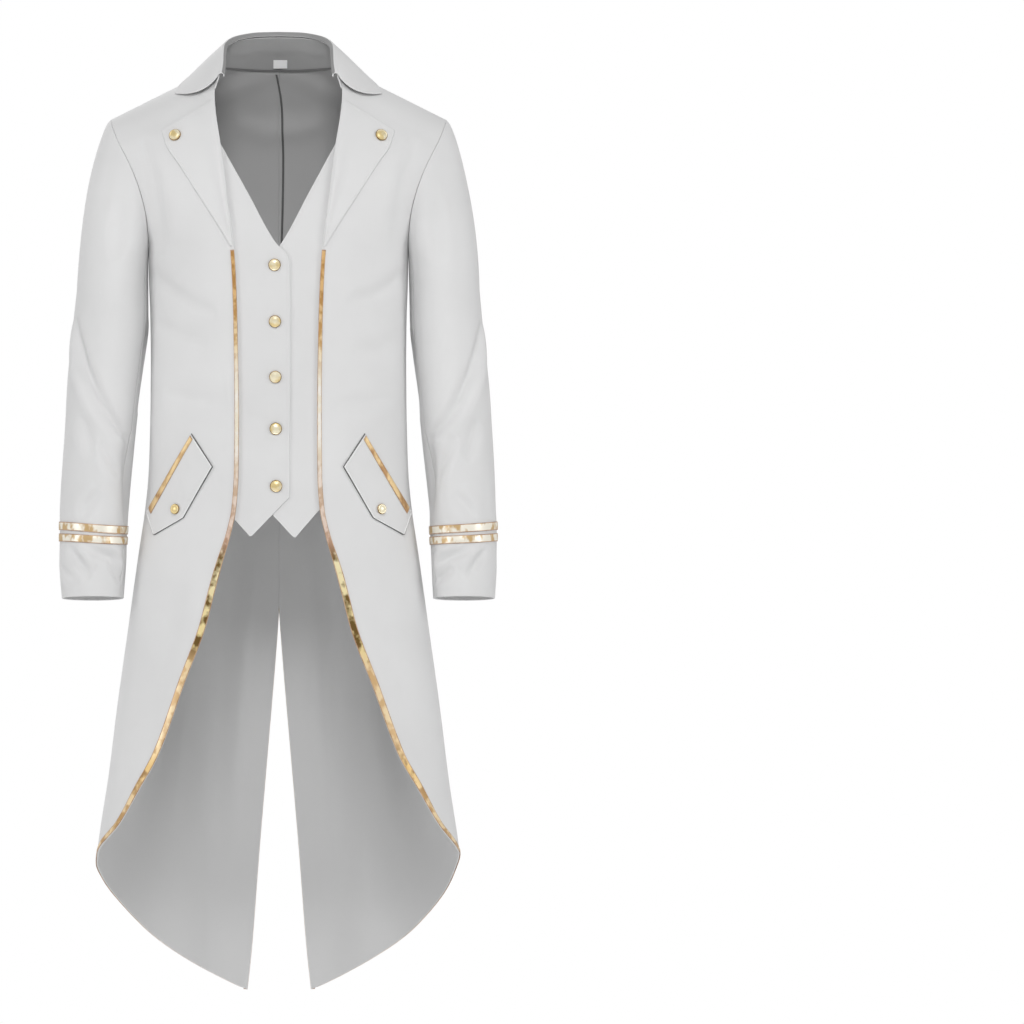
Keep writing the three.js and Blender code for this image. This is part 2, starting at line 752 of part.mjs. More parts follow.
function flapPlace(across, along) {
  const start = [mix(FLAP.top[0], FLAP.inner[0], across), mix(FLAP.top[1], FLAP.inner[1], across)];
  const f = across < 0.4 ? across / 0.4 : (across - 0.4) / 0.6;
  const [a, b] = across < 0.4 ? [FLAP.end, FLAP.tip] : [FLAP.tip, FLAP.low];
  const stop = [mix(a[0], b[0], f), mix(a[1], b[1], f)];
  return [mix(start[0], stop[0], along), mix(start[1], stop[1], along)];
}

const FLAP_LOW = 0.9;
const FLAP_HIGH = FLAP_LOW + CLOTH;
addPair("pocket_flap", ...laid(-1, 6, 11, flapPlace, FLAP_LOW, FLAP_HIGH), "cloth");
const pipingPlace = (across, along) => flapPlace(0.005 + 0.12 * across, along);
addPair("flap_piping", ...laid(-1, 1, 11, pipingPlace, FLAP_HIGH + 0.9, FLAP_HIGH + 0.9 + TRIM), "gold");

// Two gold bands round each cuff.
function cuffBand(name, outerZ, innerZ, half) {
  const layers = [0.6 + TRIM, 0.6].map((out) =>
    sleeve.map((_, column) => {
      const turn = turnOf(column);
      const middle = mix(innerZ, outerZ, (1 + Math.cos(turn)) / 2);
      return [middle - half, middle + half].map((z) => {
        const p = sleevePoint(turn, z);
        const n = point(
          Math.cos(turn) / (readStraight(SLEEVE, "outer", z) - readStraight(SLEEVE, "inner", z)),
          -Math.sin(turn) / (2 * readStraight(SLEEVE, "deep", z)),
          0,
        ).normalize();
        return away(p, n, out);
      });
    }),
  );
  addPair(name, layers[0], layers[1], "gold", true);
}

cuffBand("cuff_band_upper", -566.5, -572.5, 5.4);
cuffBand("cuff_band_lower", -581.5, -586, 5.2);

// The half belt at the back waist, with clipped upper ends.
function tabPlace(across, along) {
  const x = mix(-92, 92, across);
  const end = Math.max(0, Math.abs(x) - 78) / 14;
  return [x, mix(-429, -380.5 - 14 * end, along)];
}
add("back_tab", wall(...laid(1, 12, 2, tabPlace, REST_GAP, REST_GAP + CLOTH), false), "cloth");

// The gold cap over the top of the slit.
const capPlace = (across, along) => [mix(-9.5, 9.5, across), mix(-673, -653, along)];
add("slit_cap", wall(...laid(1, 4, 1, capPlace, 2.0, 2.0 + TRIM), false), "gold");

// Domed metal buttons with a raised rim.
function button(name, seat, diameter) {
  const r = diameter / 2;
  const profile = [
    [0, 0],
    [0.9 * r, 0],
    [r, 0.8],
    [0.93 * r, 2.1],
    [0.74 * r, 2],
    [0, 3],
  ];
  const sides = 12;
  const positions = [0, 0, 0];
  profile.slice(1, -1).forEach(([radius, z]) => {
    for (let k = 0; k < sides; k += 1) {
      const a = (k * 2 * Math.PI) / sides;
      positions.push(radius * Math.cos(a), radius * Math.sin(a), z);
    }
  });
  positions.push(0, 0, profile[profile.length - 1][1]);
  const index = [];
  const loops = profile.length - 2;
  const tip = 1 + loops * sides;
  for (let k = 0; k < sides; k += 1) {
    const m = (k + 1) % sides;
    index.push(0, 1 + m, 1 + k);
    for (let l = 0; l < loops - 1; l += 1) {
      const a = 1 + l * sides;
      const b = a + sides;
      index.push(a + k, a + m, b + m, a + k, b + m, b + k);
    }
    const a = 1 + (loops - 1) * sides;
    index.push(a + k, a + m, tip);
  }
  const geometry = faced(positions, index);
  const turn = new THREE.Quaternion().setFromUnitVectors(point(0, 0, 1), seat.n);
  geometry.applyQuaternion(turn);
  geometry.translate(seat.p.x, seat.p.y, seat.p.z);
  add(name, geometry, "gold");
}

const BUTTON_GAP = 0.6;
const overTop = VEST_TOP + BUTTON_GAP;
[-228, -301.5, -373.5, -440.5, -515].forEach((z, i) => {
  button("vest_button_" + (i + 1), onBody(-1, -4.5 + 0.5 * i, z, overTop), BUTTON);
});
[1, -1].forEach((sign) => {
  const name = sign > 0 ? "left" : "right";
  button("lapel_button_" + name, onBody(-1, sign * 133, -60.5, LAPEL_GAP + CLOTH + BUTTON_GAP), BUTTON);
  button("flap_button_" + name, onBody(-1, sign * 132, -545, FLAP_HIGH + BUTTON_GAP), SMALL_BUTTON);
  button("tab_button_" + name, onBody(1, sign * 77, -404.5, REST_GAP + CLOTH + 2 * BUTTON_GAP), BUTTON);
  [-597, -618, -639].forEach((z, i) => {
    const turn = radians(251);
    const p = sleevePoint(turn, z);
    const n = point(Math.cos(turn) / 1.9, -Math.sin(turn) / 2.2, 0).normalize();
    p.addScaledVector(n, 0.9);
    p.x *= sign;
    n.x *= sign;
    button("cuff_button_" + (i + 1) + "_" + name, { p, n }, CUFF_BUTTON);
  });
});

export default group;
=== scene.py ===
import math

import bpy
import numpy as np
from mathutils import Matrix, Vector


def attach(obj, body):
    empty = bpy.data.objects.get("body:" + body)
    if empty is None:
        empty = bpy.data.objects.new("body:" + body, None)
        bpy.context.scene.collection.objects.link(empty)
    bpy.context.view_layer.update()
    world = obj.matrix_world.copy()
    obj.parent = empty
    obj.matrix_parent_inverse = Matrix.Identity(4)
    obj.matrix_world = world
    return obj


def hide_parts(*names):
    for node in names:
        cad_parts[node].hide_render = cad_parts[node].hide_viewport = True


# A light grey tailcoat with a waistcoat front sewn into it, filled out as worn.
# Every cloth piece is a thin shell on the form of its solid. Lengths are worked
# out in millimetres and written to the meshes in metres.

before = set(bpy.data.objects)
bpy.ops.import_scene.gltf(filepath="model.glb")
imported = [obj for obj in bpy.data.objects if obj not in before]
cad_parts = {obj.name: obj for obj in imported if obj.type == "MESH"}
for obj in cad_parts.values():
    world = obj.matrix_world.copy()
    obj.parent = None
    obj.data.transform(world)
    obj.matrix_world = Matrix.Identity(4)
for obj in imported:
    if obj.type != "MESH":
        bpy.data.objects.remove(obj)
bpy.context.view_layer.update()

MM = 0.001
CLOTH = 1.8
VEST_CLOTH = 1.4
TRIM = 0.8
BUTTON, CUFF_BUTTON, SMALL_BUTTON = 16, 14.5, 13.5
# How far the pieces laid on the cloth stand off it.
REST_GAP = 0.7
LAPEL_GAP = 0.8
# Heights: the underarm, the top of the skirt and of the slit, and the two hems.
UNDERARM = -215
SKIRT_TOP = -600
SLIT_TOP = -669
FRONT_HEM = -991
TAIL_TIP = -1171
SLEEVE_START = -260.0
# Level of the neck at the back, and half the gap of the centre back seam.
BACK_NECK = 27
CENTRE_GAP = 0.15
# Columns round a sleeve, and steps of the fine mesh in each.
COLUMNS = 28
STEPS = 5


def table(columns, rows):
    return columns, np.array(rows, dtype=float)


BODY = table(["level", "half", "front", "back", "slope", "power", "armFront", "armBack"], [
    [70, 262, 0, 0, 0.5, 2.4, 218, 218],
    [66, 260.5, 14.5, 21, 0.498, 2.4, 217.2, 217.2],
    [60, 259, 26, 35, 0.492, 2.4, 216, 216],
    [51, 256.5, 38, 48, 0.481, 2.4, 214, 214],
    [40, 253.5, 48, 57, 0.466, 2.4, 211.5, 211.5],
    [27, 250, 57, 64.5, 0.445, 2.4, 208.5, 209],
    [5, 243.5, 70.5, 79, 0.403, 2.4, 203, 204],
    [-25, 233, 83, 93, 0.34, 2.4, 195.5, 197.5],
    [-65, 218, 95, 105, 0.25, 2.4, 186.5, 189],
    [-105, 201.5, 102.5, 111, 0.165, 2.4, 178.5, 182],
    [-140, 188.5, 107, 114, 0.095, 2.4, 173, 177],
    [-170, 178.8, 110, 115.5, 0.045, 2.4, 170, 172.8],
    [-192, 172.5, 111.5, 116, 0.015, 2.4, 168.9, 170.2],
    [-206, 169.6, 112, 115.7, 0.004, 2.4, 168.95, 169.1],
    [-215, 169.1, 112, 115.5, 0, 2.4, 169.1, 169.1],
    [-250, 168.3, 111, 113, 0, 2.35, 0, 0],
    [-300, 166.5, 108, 108, 0, 2.3, 0, 0],
    [-350, 166, 104, 101, 0, 2.3, 0, 0],
    [-404, 166.3, 100, 95, 0, 2.3, 0, 0],
    [-455, 167.3, 101, 99, 0, 2.3, 0, 0],
    [-500, 169, 103, 106, 0, 2.3, 0, 0],
    [-550, 174, 105, 114, 0, 2.3, 0, 0],
    [-600, 181.5, 108, 121, 0, 2.3, 0, 0],
    [-700, 195.5, 114, 129, 0, 2.35, 0, 0],
    [-800, 209.5, 120, 134, 0, 2.4, 0, 0],
    [-900, 222, 125, 138, 0, 2.45, 0, 0],
    [-991, 235.5, 128, 141, 0, 2.5, 0, 0],
    [-1171, 252, 130, 146, 0, 2.6, 0, 0],
])
FRONT_EDGE = table(["z", "x"], [
    [30, 80], [22, 81.5], [-3, 83], [-20, 82], [-70, 75], [-143, 66], [-204, 57.5],
    [-250, 54.5], [-312, 52.5], [-429, 51], [-500, 51.5], [-545, 54.5], [-580, 62],
    [-611, 71], [-656, 83], [-701, 94.5], [-771, 121], [-868, 158], [-906, 180],
    [-954, 208.5], [-983, 231], [-991, 235.1],
])
SLIT = table(["z", "gap"], [
    [-600, 0.15], [-669, 0.15], [-690, 1.2], [-728, 4], [-858, 15], [-988, 26],
    [-1118, 36], [-1171, 41.6],
])
TAIL_HEM = table(["angle", "z"], [
    [0, -991], [17.5, -1018], [31, -1046.5], [43.5, -1076], [52, -1097], [63, -1122.5],
    [75, -1149], [84.5, -1171], [90, -1183],
])
SLEEVE = table(["z", "outer", "inner", "mid", "deep"], [
    [-260, 262, 169.4, 4, 66], [-300, 266, 169.8, 6, 63], [-345, 270.5, 174.5, 7, 60],
    [-390, 274.5, 180, 6, 58], [-435, 277.3, 184.5, 4, 56], [-480, 280.5, 188.5, 0, 54.5],
    [-525, 283, 192.5, -6, 52.5], [-570, 284, 196.5, -11, 50], [-615, 284, 198.5, -16, 48.5],
    [-661, 281.5, 201, -21, 46],
])
COLLAR = table(
    ["station", "level", "foldX", "foldY", "foldZ", "hemX", "hemY", "hemZ"],
    [
        [0, 27, 0, 57, 75, 0, 70, 27],
        [1, 40, 26.5, 54, 74.3, 33, 67, 27],
        [2, 51, 44, 46.5, 72, 60, 58, 26.5],
        [3, 60, 57.5, 33.5, 68.5, 82, 44, 25],
        [4, 66, 65.5, 20, 64, 99, 29, 22],
        [5, 70, 70.5, 2, 57.5, 113, 12, 17],
        [6, 66, 71.5, -12, 48.5, 123, -2, 12],
        [7, 60, 72, -25, 36, 131, -14, 4.5],
        [8, 51, 74, -38.5, 21, 135, -26, -3.5],
        [9, 40, 79.5, -48, 7, 139, -38, -12],
    ],
)
LAPEL_EDGE = table(["share", "x", "z"], [
    [0, 61.5, -203], [0.1, 68, -192], [0.55, 107, -131], [0.8, 131, -94],
    [0.9, 144, -75], [1, 151, -54],
])
LAPEL_ROLL = table(["share", "x", "z"], [
    [0, 58.6, -204], [0.33, 65.4, -143], [0.7, 74.4, -70], [0.92, 81.6, -24], [1, 82.4, -12],
])
VEST_EDGE = table(["z", "over", "under", "outer"], [
    [-10, -108, 108, 152], [-70, -75, 74.8, 146], [-135, -38.6, 39.5, 136],
    [-200, -2.2, 4, 130], [-216, 13, -9, 129], [-235, 15.6, -20, 128],
    [-273, 16, -28, 126], [-400, 15.6, -29, 120], [-480, 15, -29, 116], [-560, 15, -29, 114],
])
VEST_HEM = table(["share", "over", "under", "zOver", "zUnder"], [
    [0, 15, -29, -529, -529], [0.38, -35.7, 21.5, -581.5, -583],
    [0.55, -56, 54, -559, -546], [1, -114, 114, -540, -532],
])
FLAP_TOP, FLAP_INNER, FLAP_LOW = (112.5, -448), (85, -490), (123, -556)
FLAP_TIP, FLAP_END = (161.5, -578), (170.5, -549)

UPPER = BODY[1][:15, 0][::-1]


def mix(a, b, f):
    return a + (b - a) * f


def smooth(f):
    f = np.clip(f, 0, 1)
    return f * f * (3 - 2 * f)


def curve(keys, values, key):
    """Smooth reading through the rows of a table, without overshoot."""
    keys, values = np.asarray(keys, float), np.asarray(values, float)
    if keys[-1] < keys[0]:
        keys, values = keys[::-1], values[::-1]
    slope = np.diff(values) / np.diff(keys)
    tangent = np.empty_like(values)
    tangent[0], tangent[-1] = slope[0], slope[-1]
    a, b = slope[:-1], slope[1:]
    total = np.where(a + b == 0, 1, a + b)
    tangent[1:-1] = np.where(a * b > 0, 2 * a * b / total, 0)
    key = np.clip(np.asarray(key, float), keys[0], keys[-1])
    i = np.clip(np.searchsorted(keys, key, side="right") - 1, 0, len(keys) - 2)
    width = keys[i + 1] - keys[i]
    s = (key - keys[i]) / width
    s2, s3 = s * s, s * s * s
    return (
        (2 * s3 - 3 * s2 + 1) * values[i]
        + (s3 - 2 * s2 + s) * width * tangent[i]
        + (3 * s2 - 2 * s3) * values[i + 1]
        + (s3 - s2) * width * tangent[i + 1]
    )


def read(source, column, key):
    names, rows = source
    return curve(rows[:, 0], rows[:, names.index(column)], key)


def unit(v):
    return v / np.maximum(np.linalg.norm(v, axis=-1, keepdims=True), 1e-9)


def xyz(x, y, z):
    return np.stack(np.broadcast_arrays(x, y, z), axis=-1)


def spacing(P, axis=0):
    """Lengths from each point to the next along an axis of a grid."""
    return np.linalg.norm(np.diff(P, axis=axis), axis=-1)


def running(lengths):
    return np.concatenate([[0], np.cumsum(lengths)])


def mirror(sign, *grids):
    for grid in grids:
        grid[..., 0] *= sign


def body_point(side, angle, level):
    power = read(BODY, "power", level)
    a = np.radians(angle)
    x = read(BODY, "half", level) * np.clip(np.cos(a), 0, 1) ** (2 / power)
    depth = read(BODY, "front" if side < 0 else "back", level)
    y = side * depth * np.clip(np.sin(a), 0, 1) ** (2 / power)
    return xyz(x, y, level - read(BODY, "slope", level) * x)


def angle_at(level, x):
    ratio = np.clip(np.abs(x) / read(BODY, "half", level), 0, 1)
    return np.degrees(np.arccos(ratio ** (read(BODY, "power", level) / 2)))


def front_edge_x(level):
    x = np.full_like(level, 60.0)
    for _ in range(12):
        x = read(FRONT_EDGE, "x", level - read(BODY, "slope", level) * x)
    return x


def neck_x(level):
    rise = np.clip((level - BACK_NECK) / 43, 0, 1)
    return np.where(level <= BACK_NECK, CENTRE_GAP, 80 * rise ** 0.85)


def crease_field(u, v, creases):
    """Listed folds: each is a line with a trough, and a softer ridge beside it."""
    out = np.zeros(np.broadcast(u, v).shape)
    for line, depth, width, ridge in creases:
        pts = np.array(line, float)
        seg = spacing(pts)
        total, run = seg.sum(), 0.0
        best = np.full(out.shape, 1e9)
        signed = np.zeros(out.shape)
        along = np.zeros(out.shape)
        for k, length in enumerate(seg):
            d = (pts[k + 1] - pts[k]) / length
            t = np.clip((u - pts[k][0]) * d[0] + (v - pts[k][1]) * d[1], 0, length)
            ex, ey = u - pts[k][0] - t * d[0], v - pts[k][1] - t * d[1]
            dist = np.hypot(ex, ey)
            near = dist < best
            best = np.where(near, dist, best)
            signed = np.where(near, np.sign(d[0] * ey - d[1] * ex) * dist, signed)
            along = np.where(near, (run + t) / total, along)
            run += length
        taper = np.clip(np.sin(np.pi * np.clip(along, 0.0, 1.0)), 0, 1) ** 0.6
        ends = np.clip(1 - np.where((along <= 0) | (along >= 1), best, 0) / (1.5 * width), 0, 1)
        w = width * (0.7 + 0.3 * taper)
        trough = np.exp(-(best / w) ** 2)
        bank = np.exp(-((signed - ridge * 1.9 * w) / (1.3 * w)) ** 2)
        out += taper * ends * depth * (0.45 * bank - trough)
    return out


# Folds of the body, as x and z seen from the front or the back.
FRONT_FOLDS = [
    ([(-168, -232), (-140, -262), (-104, -284), (-80, -290)], 2.2, 10, 1),
    ([(167, -228), (148, -254), (118, -270), (88, -274)], 2.4, 9, -1),
    ([(-160, -300), (-128, -322), (-92, -330)], 1.6, 11, 1),
    ([(158, -322), (130, -340), (96, -344)], 1.5, 12, -1),
    ([(-150, -392), (-112, -404), (-66, -402)], 1.7, 11, 1),
    ([(152, -400), (118, -408), (72, -410)], 1.8, 10, 1),
    ([(-176, -60), (-166, -110), (-158, -165), (-150, -205)], 2.6, 10, 1),
    ([(178, -62), (167, -112), (160, -160), (152, -200)], 2.4, 10, -1),
    ([(-128, -640), (-146, -730), (-172, -830)], 2.0, 16, 1),
    ([(126, -650), (150, -740), (178, -850)], 1.8, 15, -1),
]
BACK_FOLDS = [
    ([(-176, -70), (-160, -140), (-140, -210)], 3.0, 12, 1),
    ([(178, -76), (164, -150), (146, -222)], 2.6, 12, -1),
    ([(-150, -240), (-104, -262), (-60, -268)], 2.0, 12, 1),
    ([(152, -250), (110, -276), (64, -280)], 2.2, 11, -1),
    ([(-120, -330), (-60, -342), (6, -338)], 2.0, 12, 1),
    ([(126, -348), (84, -360), (34, -362)], 1.8, 11, -1),
    ([(-60, -40), (-20, -56), (28, -52), (70, -38)], 1.6, 13, 1),
    ([(-140, -440), (-104, -452), (-66, -450)], 1.6, 11, -1),
    ([(140, -446), (108, -460), (72, -462)], 1.5, 12, 1),
    ([(-72, -470), (-92, -620), (-118, -800), (-140, -960)], 4.0, 19, 1),
    ([(80, -480), (104, -640), (126, -820), (150, -980)], 4.2, 18, -1),
    ([(-24, -520), (-40, -700), (-58, -900), (-70, -1060)], 3.2, 16, -1),
    ([(30, -530), (44, -720), (60, -930), (74, -1080)], 3.0, 16, 1),
    ([(-160, -700), (-182, -860), (-196, -980)], 3.0, 16, 1),
    ([(164, -690), (184, -840), (200, -970)], 2.8, 16, -1),
]
VEST_FOLDS = [
    ([(-38, -250), (-12, -262), (10, -258)], 1.0, 9, 1),
    ([(-46, -420), (-20, -432), (8, -430)], 1.1, 9, 1),
]


def relief(side, x, z, angle, level):
    """How far the cloth stands off the smooth body, in and out."""
    seam = smooth(angle / 16) * smooth((70 - level) / 40)
    arm = read(BODY, "armFront" if side < 0 else "armBack", level)
    arm = np.where(level > UNDERARM, smooth((arm - np.abs(x)) / 26), 1)
    low = smooth((-470 - z) / 420)
    turn = np.radians(angle) * np.where(x < 0, -1, 1)
    if side < 0:
        folds = crease_field(x, z, FRONT_FOLDS)
        flute = 1.4 * np.sin(3.1 * turn + 0.8) + 1.0 * np.sin(6.7 * turn + z / 260)
        broad = 1.2 * np.sin(x / 37 + z / 88) * np.sin(z / 61 + 1.1)
    else:
        folds = crease_field(x, z, BACK_FOLDS)
        flute = 3.2 * np.sin(x / 21 + 0.6 + z / 900) + 1.8 * np.sin(x / 12.3 + 1.9)
        broad = 1.5 * np.sin(x / 43 + z / 97) * np.sin(z / 66 + 0.4)
    return seam * arm * (1.7 * folds + broad * 0.8 + flute * low)


# Folds of a sleeve, as 0.9 times the turn in degrees and the height.
SLEEVE_FOLDS = {
    -1: [
        ([(14, -296), (28, -322), (49, -364), (77, -404), (113, -440), (138, -456)], 6.0, 9, -1),
        ([(128, -446), (138, -505), (150, -566)], 4.0, 17, -1),
        ([(50, -422), (76, -478)], 2.6, 9, -1),
        ([(83, -456), (100, -482), (117, -504)], 3.0, 8, -1),
        ([(87, -143), (84, -180), (88, -221)], 3.0, 14, 1),
        ([(36, -592), (52, -606), (78, -632)], 4.6, 8, 1),
        ([(60, -591), (96, -601), (134, -614)], 4.6, 7, 1),
        ([(108, -614), (124, -626), (138, -640)], 2.4, 8, 1),
        ([(88, -520), (70, -540), (60, -562)], 2.6, 9, -1),
        ([(14, -618), (40, -632), (60, -640)], 1.6, 6, -1),
        ([(196, -330), (232, -352), (262, -386)], 3.6, 9, 1),
        ([(206, -420), (236, -440), (268, -450)], 3.0, 9, 1),
        ([(214, -500), (240, -520), (264, -526)], 2.2, 9, -1),
        ([(262, -130), (254, -190), (248, -240)], 3.0, 13, 1),
        ([(148, -300), (160, -360), (166, -420)], 2.0, 10, 1),
    ],
    1: [
        ([(13, -300), (27, -326), (48, -366), (75, -407), (111, -441), (137, -455)], 5.8, 9, -1),
        ([(127, -448), (137, -508), (150, -568)], 4.2, 17, -1),
        ([(48, -430), (72, -480)], 2.8, 9, -1),
        ([(84, -450), (102, -478), (118, -508)], 3.0, 8, -1),
        ([(86, -140), (85, -184), (90, -224)], 2.8, 14, 1),
        ([(38, -593), (54, -608), (76, -633)], 4.4, 8, 1),
        ([(58, -591), (94, -602), (132, -615)], 4.6, 7, 1),
        ([(106, -615), (122, -628), (136, -641)], 2.4, 8, 1),
        ([(90, -524), (72, -543), (62, -563)], 2.4, 9, -1),
        ([(98, -622), (118, -630), (140, -636)], 1.6, 6, -1),
        ([(200, -336), (234, -360), (266, -380)], 3.4, 9, 1),
        ([(204, -410), (238, -436), (266, -444)], 3.2, 9, 1),
        ([(210, -506), (238, -524), (262, -534)], 2.2, 9, -1),
        ([(264, -126), (256, -186), (246, -236)], 3.0, 13, 1),
        ([(150, -310), (158, -366), (168, -426)], 2.0, 10, 1),
    ],
}


def sleeve_relief(sign, turn, z, f):
    u = 0.9 * np.degrees(turn)
    around = 0.9 * 360
    folds = 1.9 * sum(crease_field(u + k, z, SLEEVE_FOLDS[sign]) for k in (0, around, -around))
    broad = 1.1 * np.sin(2 * turn + z / 70) * np.sin(z / 83 + 0.7 + sign)
    free = smooth(f * 2.2) * smooth((z + 665) / 26)
    bands = 1 - 0.75 * np.exp(-((z + 577) / 24) ** 4)
    return free * bands * (folds + broad)


def gradient_normals(P, wrap=False):
    if wrap:
        du = np.roll(P, -1, axis=0) - np.roll(P, 1, axis=0)
    else:
        du = np.gradient(P, axis=0)
    return unit(np.cross(du, np.gradient(P, axis=1)))


def facing(N, P, centre):
    turn = np.sign(np.sum(N * (P - centre), axis=-1, keepdims=True))
    return N * np.where(turn == 0, 1, turn)


def graded(n, ease=0.5):
    t = np.linspace(0, 1, n)
    return t - ease * np.sin(2 * np.pi * t) / (2 * np.pi)


def upper_levels():
    index = np.arange(0, 14 * STEPS + 1) / STEPS
    return curve(np.arange(15), UPPER, index)


def body_grids(sign):
    """Front and back of one side, smooth, then with its folds."""
    upper = upper_levels()[1:]
    waist = np.linspace(SKIRT_TOP, UNDERARM, 80)
    share = np.concatenate([[1, 0.996], np.linspace(0.99, 0, 86)])[:-1]
    f = graded(64)[:, None]
    inner_skirt = mix(SKIRT_TOP, FRONT_HEM, share)[None, :]
    low_angle = mix(angle_at(inner_skirt, read(FRONT_EDGE, "x", inner_skirt)), 0, f)
    w = waist[None, :]
    waist_angle = mix(angle_at(w, read(FRONT_EDGE, "x", w)), 0, f)
    up = upper[None, :]
    up_angle = mix(angle_at(up, front_edge_x(up)), angle_at(up, read(BODY, "armFront", up)), f)
    level = np.concatenate([inner_skirt, w, up], axis=1) + 0 * f
    angle = np.concatenate([low_angle, waist_angle, up_angle], axis=1)
    front = body_point(-1, angle, level)
    front_facts = (angle, level)

    edge = mix(SKIRT_TOP, TAIL_TIP, share)[None, :]
    skirt_angle = mix(angle_at(edge, read(SLIT, "gap", edge)), 0, f)
    skirt_z = mix(SKIRT_TOP, read(TAIL_HEM, "z", skirt_angle), share[None, :])
    waist_angle = mix(angle_at(w, CENTRE_GAP), 0, f)
    up_angle = mix(angle_at(up, neck_x(up)), angle_at(up, read(BODY, "armBack", up)), f)
    level = np.concatenate([skirt_z, w + 0 * f, up + 0 * f], axis=1)
    angle = np.concatenate([skirt_angle, waist_angle, up_angle], axis=1)
    back = body_point(1, angle, level)
    back[:, :skirt_z.shape[1], 2] = skirt_z
    back_facts = (angle, level)
    # The two backs overlap a little at the centre, so that no light passes.
    back[0, back[0, :, 0] < 0.2, 0] = -0.25

    mirror(sign, front, back)

    def outward(p):
        centre = xyz(p[..., 0] * 0.5, 0, np.minimum(p[..., 2], -20))
        return facing(gradient_normals(p), p, centre)

    fn, bn = outward(front), outward(back)
    seam = share.size + waist.size
    for a, b in ((fn[-1, :seam], bn[-1, :seam]), (fn[:, -1], bn[:, -1])):
        both = unit(a + b)
        a[...] = both
        b[...] = both
    bn[0, (back[0, :, 2] > SLIT_TOP) & (back[0, :, 2] < BACK_NECK), 0] = 0
    bn[...] = unit(bn)
    front = front + fn * relief(-1, front[..., 0], front[..., 2], *front_facts)[..., None]
    back = back + bn * relief(1, back[..., 0], back[..., 2], *back_facts)[..., None]
    return front, fn, back, bn, seam


def on_body(side, x, z, out):
    """Points laid on the front or back at a width and a height, out along the normal."""
    x, z = np.broadcast_arrays(np.asarray(x, float), np.asarray(z, float))
    w = np.abs(x)
    sign = np.where(x < 0, -1.0, 1.0)
    level = z.copy()
    for _ in range(24):
        level = z + read(BODY, "slope", level) * w
    angle = angle_at(level, w)
    a = np.minimum(89.6, angle)
    along = body_point(side, np.minimum(89.9, a + 0.3), level)
    along = along - body_point(side, np.maximum(0.05, a - 0.3), level)
    upward = body_point(side, a, np.minimum(69.6, level + 1)) - body_point(side, a, level - 1)
    n = unit(np.cross(along, upward))
    n = n * np.where(n[..., 1:2] * side < 0, -1, 1)
    n[..., 0] *= np.minimum(1, w / 3)
    n = unit(n)
    p = body_point(side, angle, level)
    p[..., 0] *= sign
    n[..., 0] *= sign
    return p + n * (np.asarray(out) + relief(side, x, z, angle, level))[..., None], n


def sleeve_ring_z(turn, z):
    outer, inner = read(SLEEVE, "outer", z), read(SLEEVE, "inner", z)
    x = (outer + inner) / 2 + (outer - inner) / 2 * np.cos(turn)
    return xyz(x, read(SLEEVE, "mid", z) - read(SLEEVE, "deep", z) * np.sin(turn), z)


def sleeve_normal(turn, z):
    across = read(SLEEVE, "outer", z) - read(SLEEVE, "inner", z)
    return unit(xyz(np.cos(turn) / across, -np.sin(turn) / (2 * read(SLEEVE, "deep", z)), 0.0))


def sleeve_grid(sign, front, fn, back, bn, seam):
    """One sleeve, from the armhole ring down to the cuff."""
    fr, br = front[-1, seam - 1:], back[-1, seam - 1:]
    start = np.concatenate([fr[::-1], br[1:-1]])
    normal = np.concatenate([fn[-1, seam - 1:][::-1], bn[-1, seam:-1]])
    start[:, 0] *= sign
    normal = normal * np.array([sign, 1, 1])
    count = len(start)
    turn = np.arange(count) * 2 * np.pi / count
    end = sleeve_ring_z(turn, np.full(count, SLEEVE_START))
    below = sleeve_ring_z(turn, np.full(count, SLEEVE_START - 40))
    chord = end - start
    length = np.linalg.norm(chord, axis=1, keepdims=True)
    t1 = mix(chord, unit(below - end) * length, 0.85)
    f = np.concatenate([[0], np.linspace(0.03, 1, 56)])[None, :, None]
    s, t0 = start[:, None], chord[:, None]
    e, t1 = end[:, None], t1[:, None]
    fan = (
        (2 * f ** 3 - 3 * f ** 2 + 1) * s + (f ** 3 - 2 * f ** 2 + f) * t0
        + (3 * f ** 2 - 2 * f ** 3) * e + (f ** 3 - f ** 2) * t1
    )
    swell = 9 * np.sin(np.pi * f[..., 0] ** 0.6) * ((1 + np.cos(turn[:, None])) / 2) ** 1.2
    fan[..., 0] += swell
    fan[..., 2] += 0.35 * swell
    z = np.concatenate([np.linspace(SLEEVE_START, -655, 126)[1:], [-658, -659.7, -661]])
    tube = sleeve_ring_z(turn[:, None], z[None, :])
    tube[..., 2] += 3 * np.sin(turn[:, None]) * np.maximum(0, (-615 - z[None, :]) / 46)
    P = np.concatenate([fan, tube], axis=1)
    free = np.broadcast_to(f[..., 0], (count, f.shape[1]))
    free = np.concatenate([free, np.ones((count, len(z)))], axis=1)
    N = gradient_normals(P, wrap=True)
    height = P[..., 2]
    middle = (read(SLEEVE, "outer", height) + read(SLEEVE, "inner", height)) / 2
    above = height > UNDERARM
    N = facing(N, P, xyz(np.where(above, 205, middle), 0, np.where(above, -190, height)))
    down = unit(P[:, 1] - P[:, 0])
    P[:, 0] += 0.5 * unit(down + 0.8 * normal)
    P = P + N * sleeve_relief(sign, turn[:, None], P[..., 2], free)[..., None]
    mirror(sign, P, N)
    return P, N


